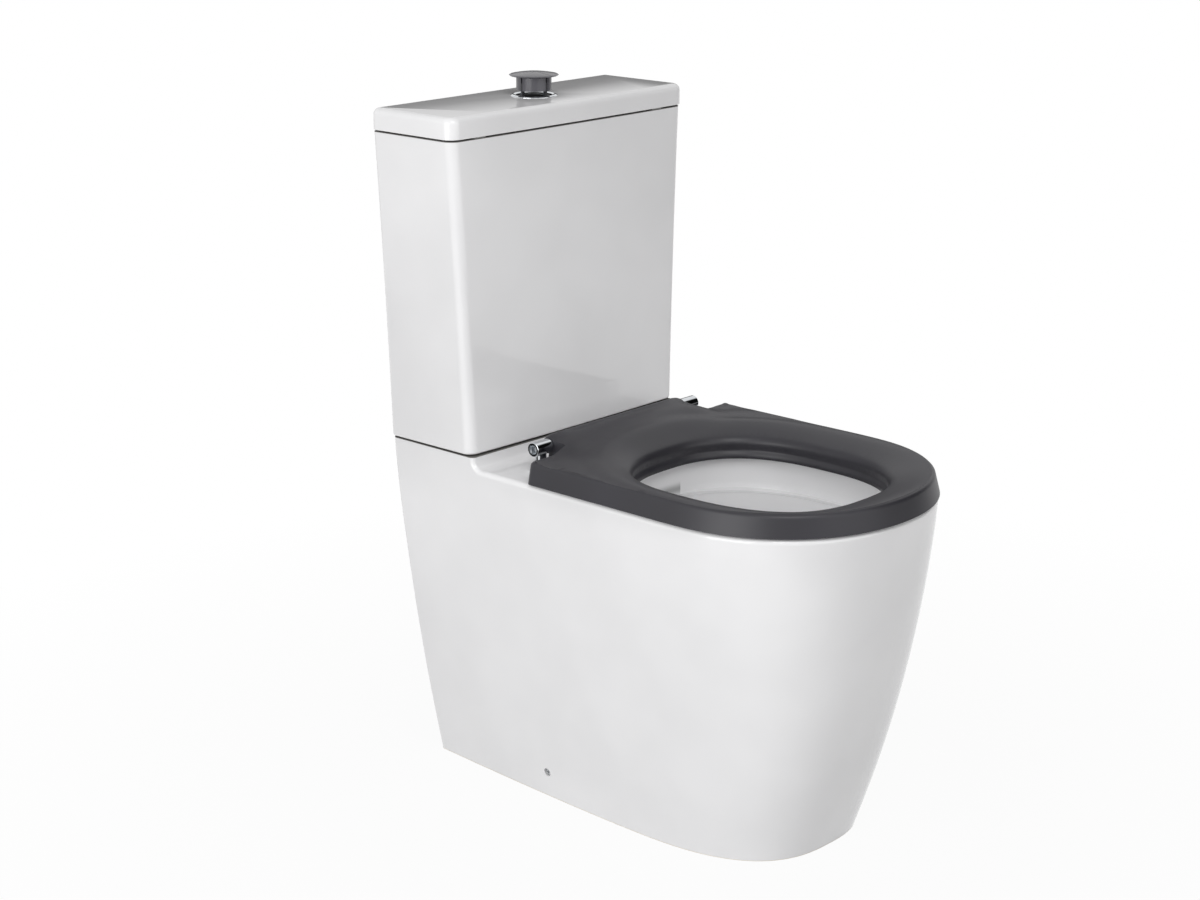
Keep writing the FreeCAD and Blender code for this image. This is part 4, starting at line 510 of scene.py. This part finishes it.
# ---- flush button ------------------------------------------------------------------------------------
# Raised two-part button in satin anthracite ABS: each half has its half of the domed cap and of the
# slotted barrel, and low moulded dots in a row. The ring is chromed, and the ribbed guide inside it
# is dull dark ABS.
abs_anthracite = moulded_plastic("abs_anthracite_satin", "504f55", "545359", 0.24, 0.02)
abs_dark = moulded_plastic("abs_dark_dull", "313134", "38383b", 0.5, 0.02)
DOT_R = 0.0014
DOT_FLATNESS = 0.4            # a dot's height as a share of its radius
DOT_SINK = 0.0003             # how far a dot's middle lies under the cap's top
DOT_REACH = 0.0115            # middle of each half's row of dots, from the split
DOT_STEP = (0.0042, -0.0046)  # from one dot to the next
DOT_FALL = 0.0041             # how far the dots' middles fall from the cap's middle to its edge
CAP_EDGE_R = 0.0295
for side, node in ((1, "full_flush_button"), (-1, "half_flush_button")):
    body = node.replace("_flush", "")
    finished(smooth_copy(node, node + "_satin", 32), abs_anthracite, body, node)
    low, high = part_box(node)
    centre_y = (low[1] + high[1]) / 2
    dots = bmesh.new()
    for step in (-1, 0, 1):
        x = side * DOT_REACH + step * DOT_STEP[0]
        y = step * DOT_STEP[1]
        dome_z = high[2] - DOT_SINK - DOT_FALL * (x * x + y * y) / CAP_EDGE_R ** 2
        bead = bmesh.ops.create_uvsphere(dots, u_segments=14, v_segments=8, radius=DOT_R)["verts"]
        bmesh.ops.scale(dots, vec=(1, 1, DOT_FLATNESS), verts=bead)
        bmesh.ops.translate(dots, vec=(x, centre_y + y, dome_z), verts=bead)
    for face in dots.faces:
        face.smooth = True
    dots_mesh = bpy.data.meshes.new(node + "_dots")
    dots.to_mesh(dots_mesh)
    dots.free()
    dots_mesh.materials.append(abs_dark)
    beads = bpy.data.objects.new(node + "_dots", dots_mesh)
    bpy.context.scene.collection.objects.link(beads)
    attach(beads, body)
guide = smooth_copy("button_carrier", "button_guide_dark", 30)
finished(guide, abs_dark, "toilet", "button_carrier")
ring = smooth_copy("button_ring", "button_ring_chromed", 30)
finished(ring, chrome, "toilet", "button_ring")
dress(["button_nut"], nylon)


# ---- flush valve -------------------------------------------------------------------------------------
# Injection-moulded parts in white ABS, with the moving and clip-on parts in grey acetal and blue
# polypropylene so that a fitter can tell them apart. The seal is dark EPDM.
abs_white = moulded_plastic("abs_white_moulded", "d5d8d9", "dcdfe0", 0.38)
acetal_grey = moulded_plastic("acetal_grey_moulded", "6c737b", "767d85", 0.4)
polypropylene_blue = moulded_plastic("polypropylene_blue_moulded", "27568f", "2e619f", 0.42)
dress(["flush_valve_base", "flush_valve_tower", "overflow_tube", "flush_float", "flush_valve_nut"], abs_white)
dress(["full_flush_rod", "half_flush_rod", "full_flush_lever", "half_flush_lever"], acetal_grey)
dress(["flush_valve_head", "lift_yoke"], polypropylene_blue)
dress(["flush_seal"], seal_rubber)
dress(["lever_pins"], steel_across)


# ---- fill valve --------------------------------------------------------------------------------------
# Bottom-entry fill valve in the same plastics: white body with its threaded tail, blue cap and stop,
# grey float and arm. The nut is natural nylon and the washer dark EPDM.
dress(["fill_valve_body", "fill_float_rod"], abs_white)
dress(["fill_valve_cap", "float_stop"], polypropylene_blue)
dress(["fill_valve_arm", "fill_valve_float"], acetal_grey)
dress(["fill_arm_pin"], steel_across)
dress(["inlet_washer"], seal_rubber)
dress(["inlet_nut"], nylon)


# ---- floor fixing ------------------------------------------------------------------------------------
# Nylon angle brackets stand on the floor inside the skirt. Stainless screws in nylon bushes hold the
# pan to them through its sides.
dress(["floor_brackets", "side_bushes"], nylon)
dress(["side_screws"], steel_across)
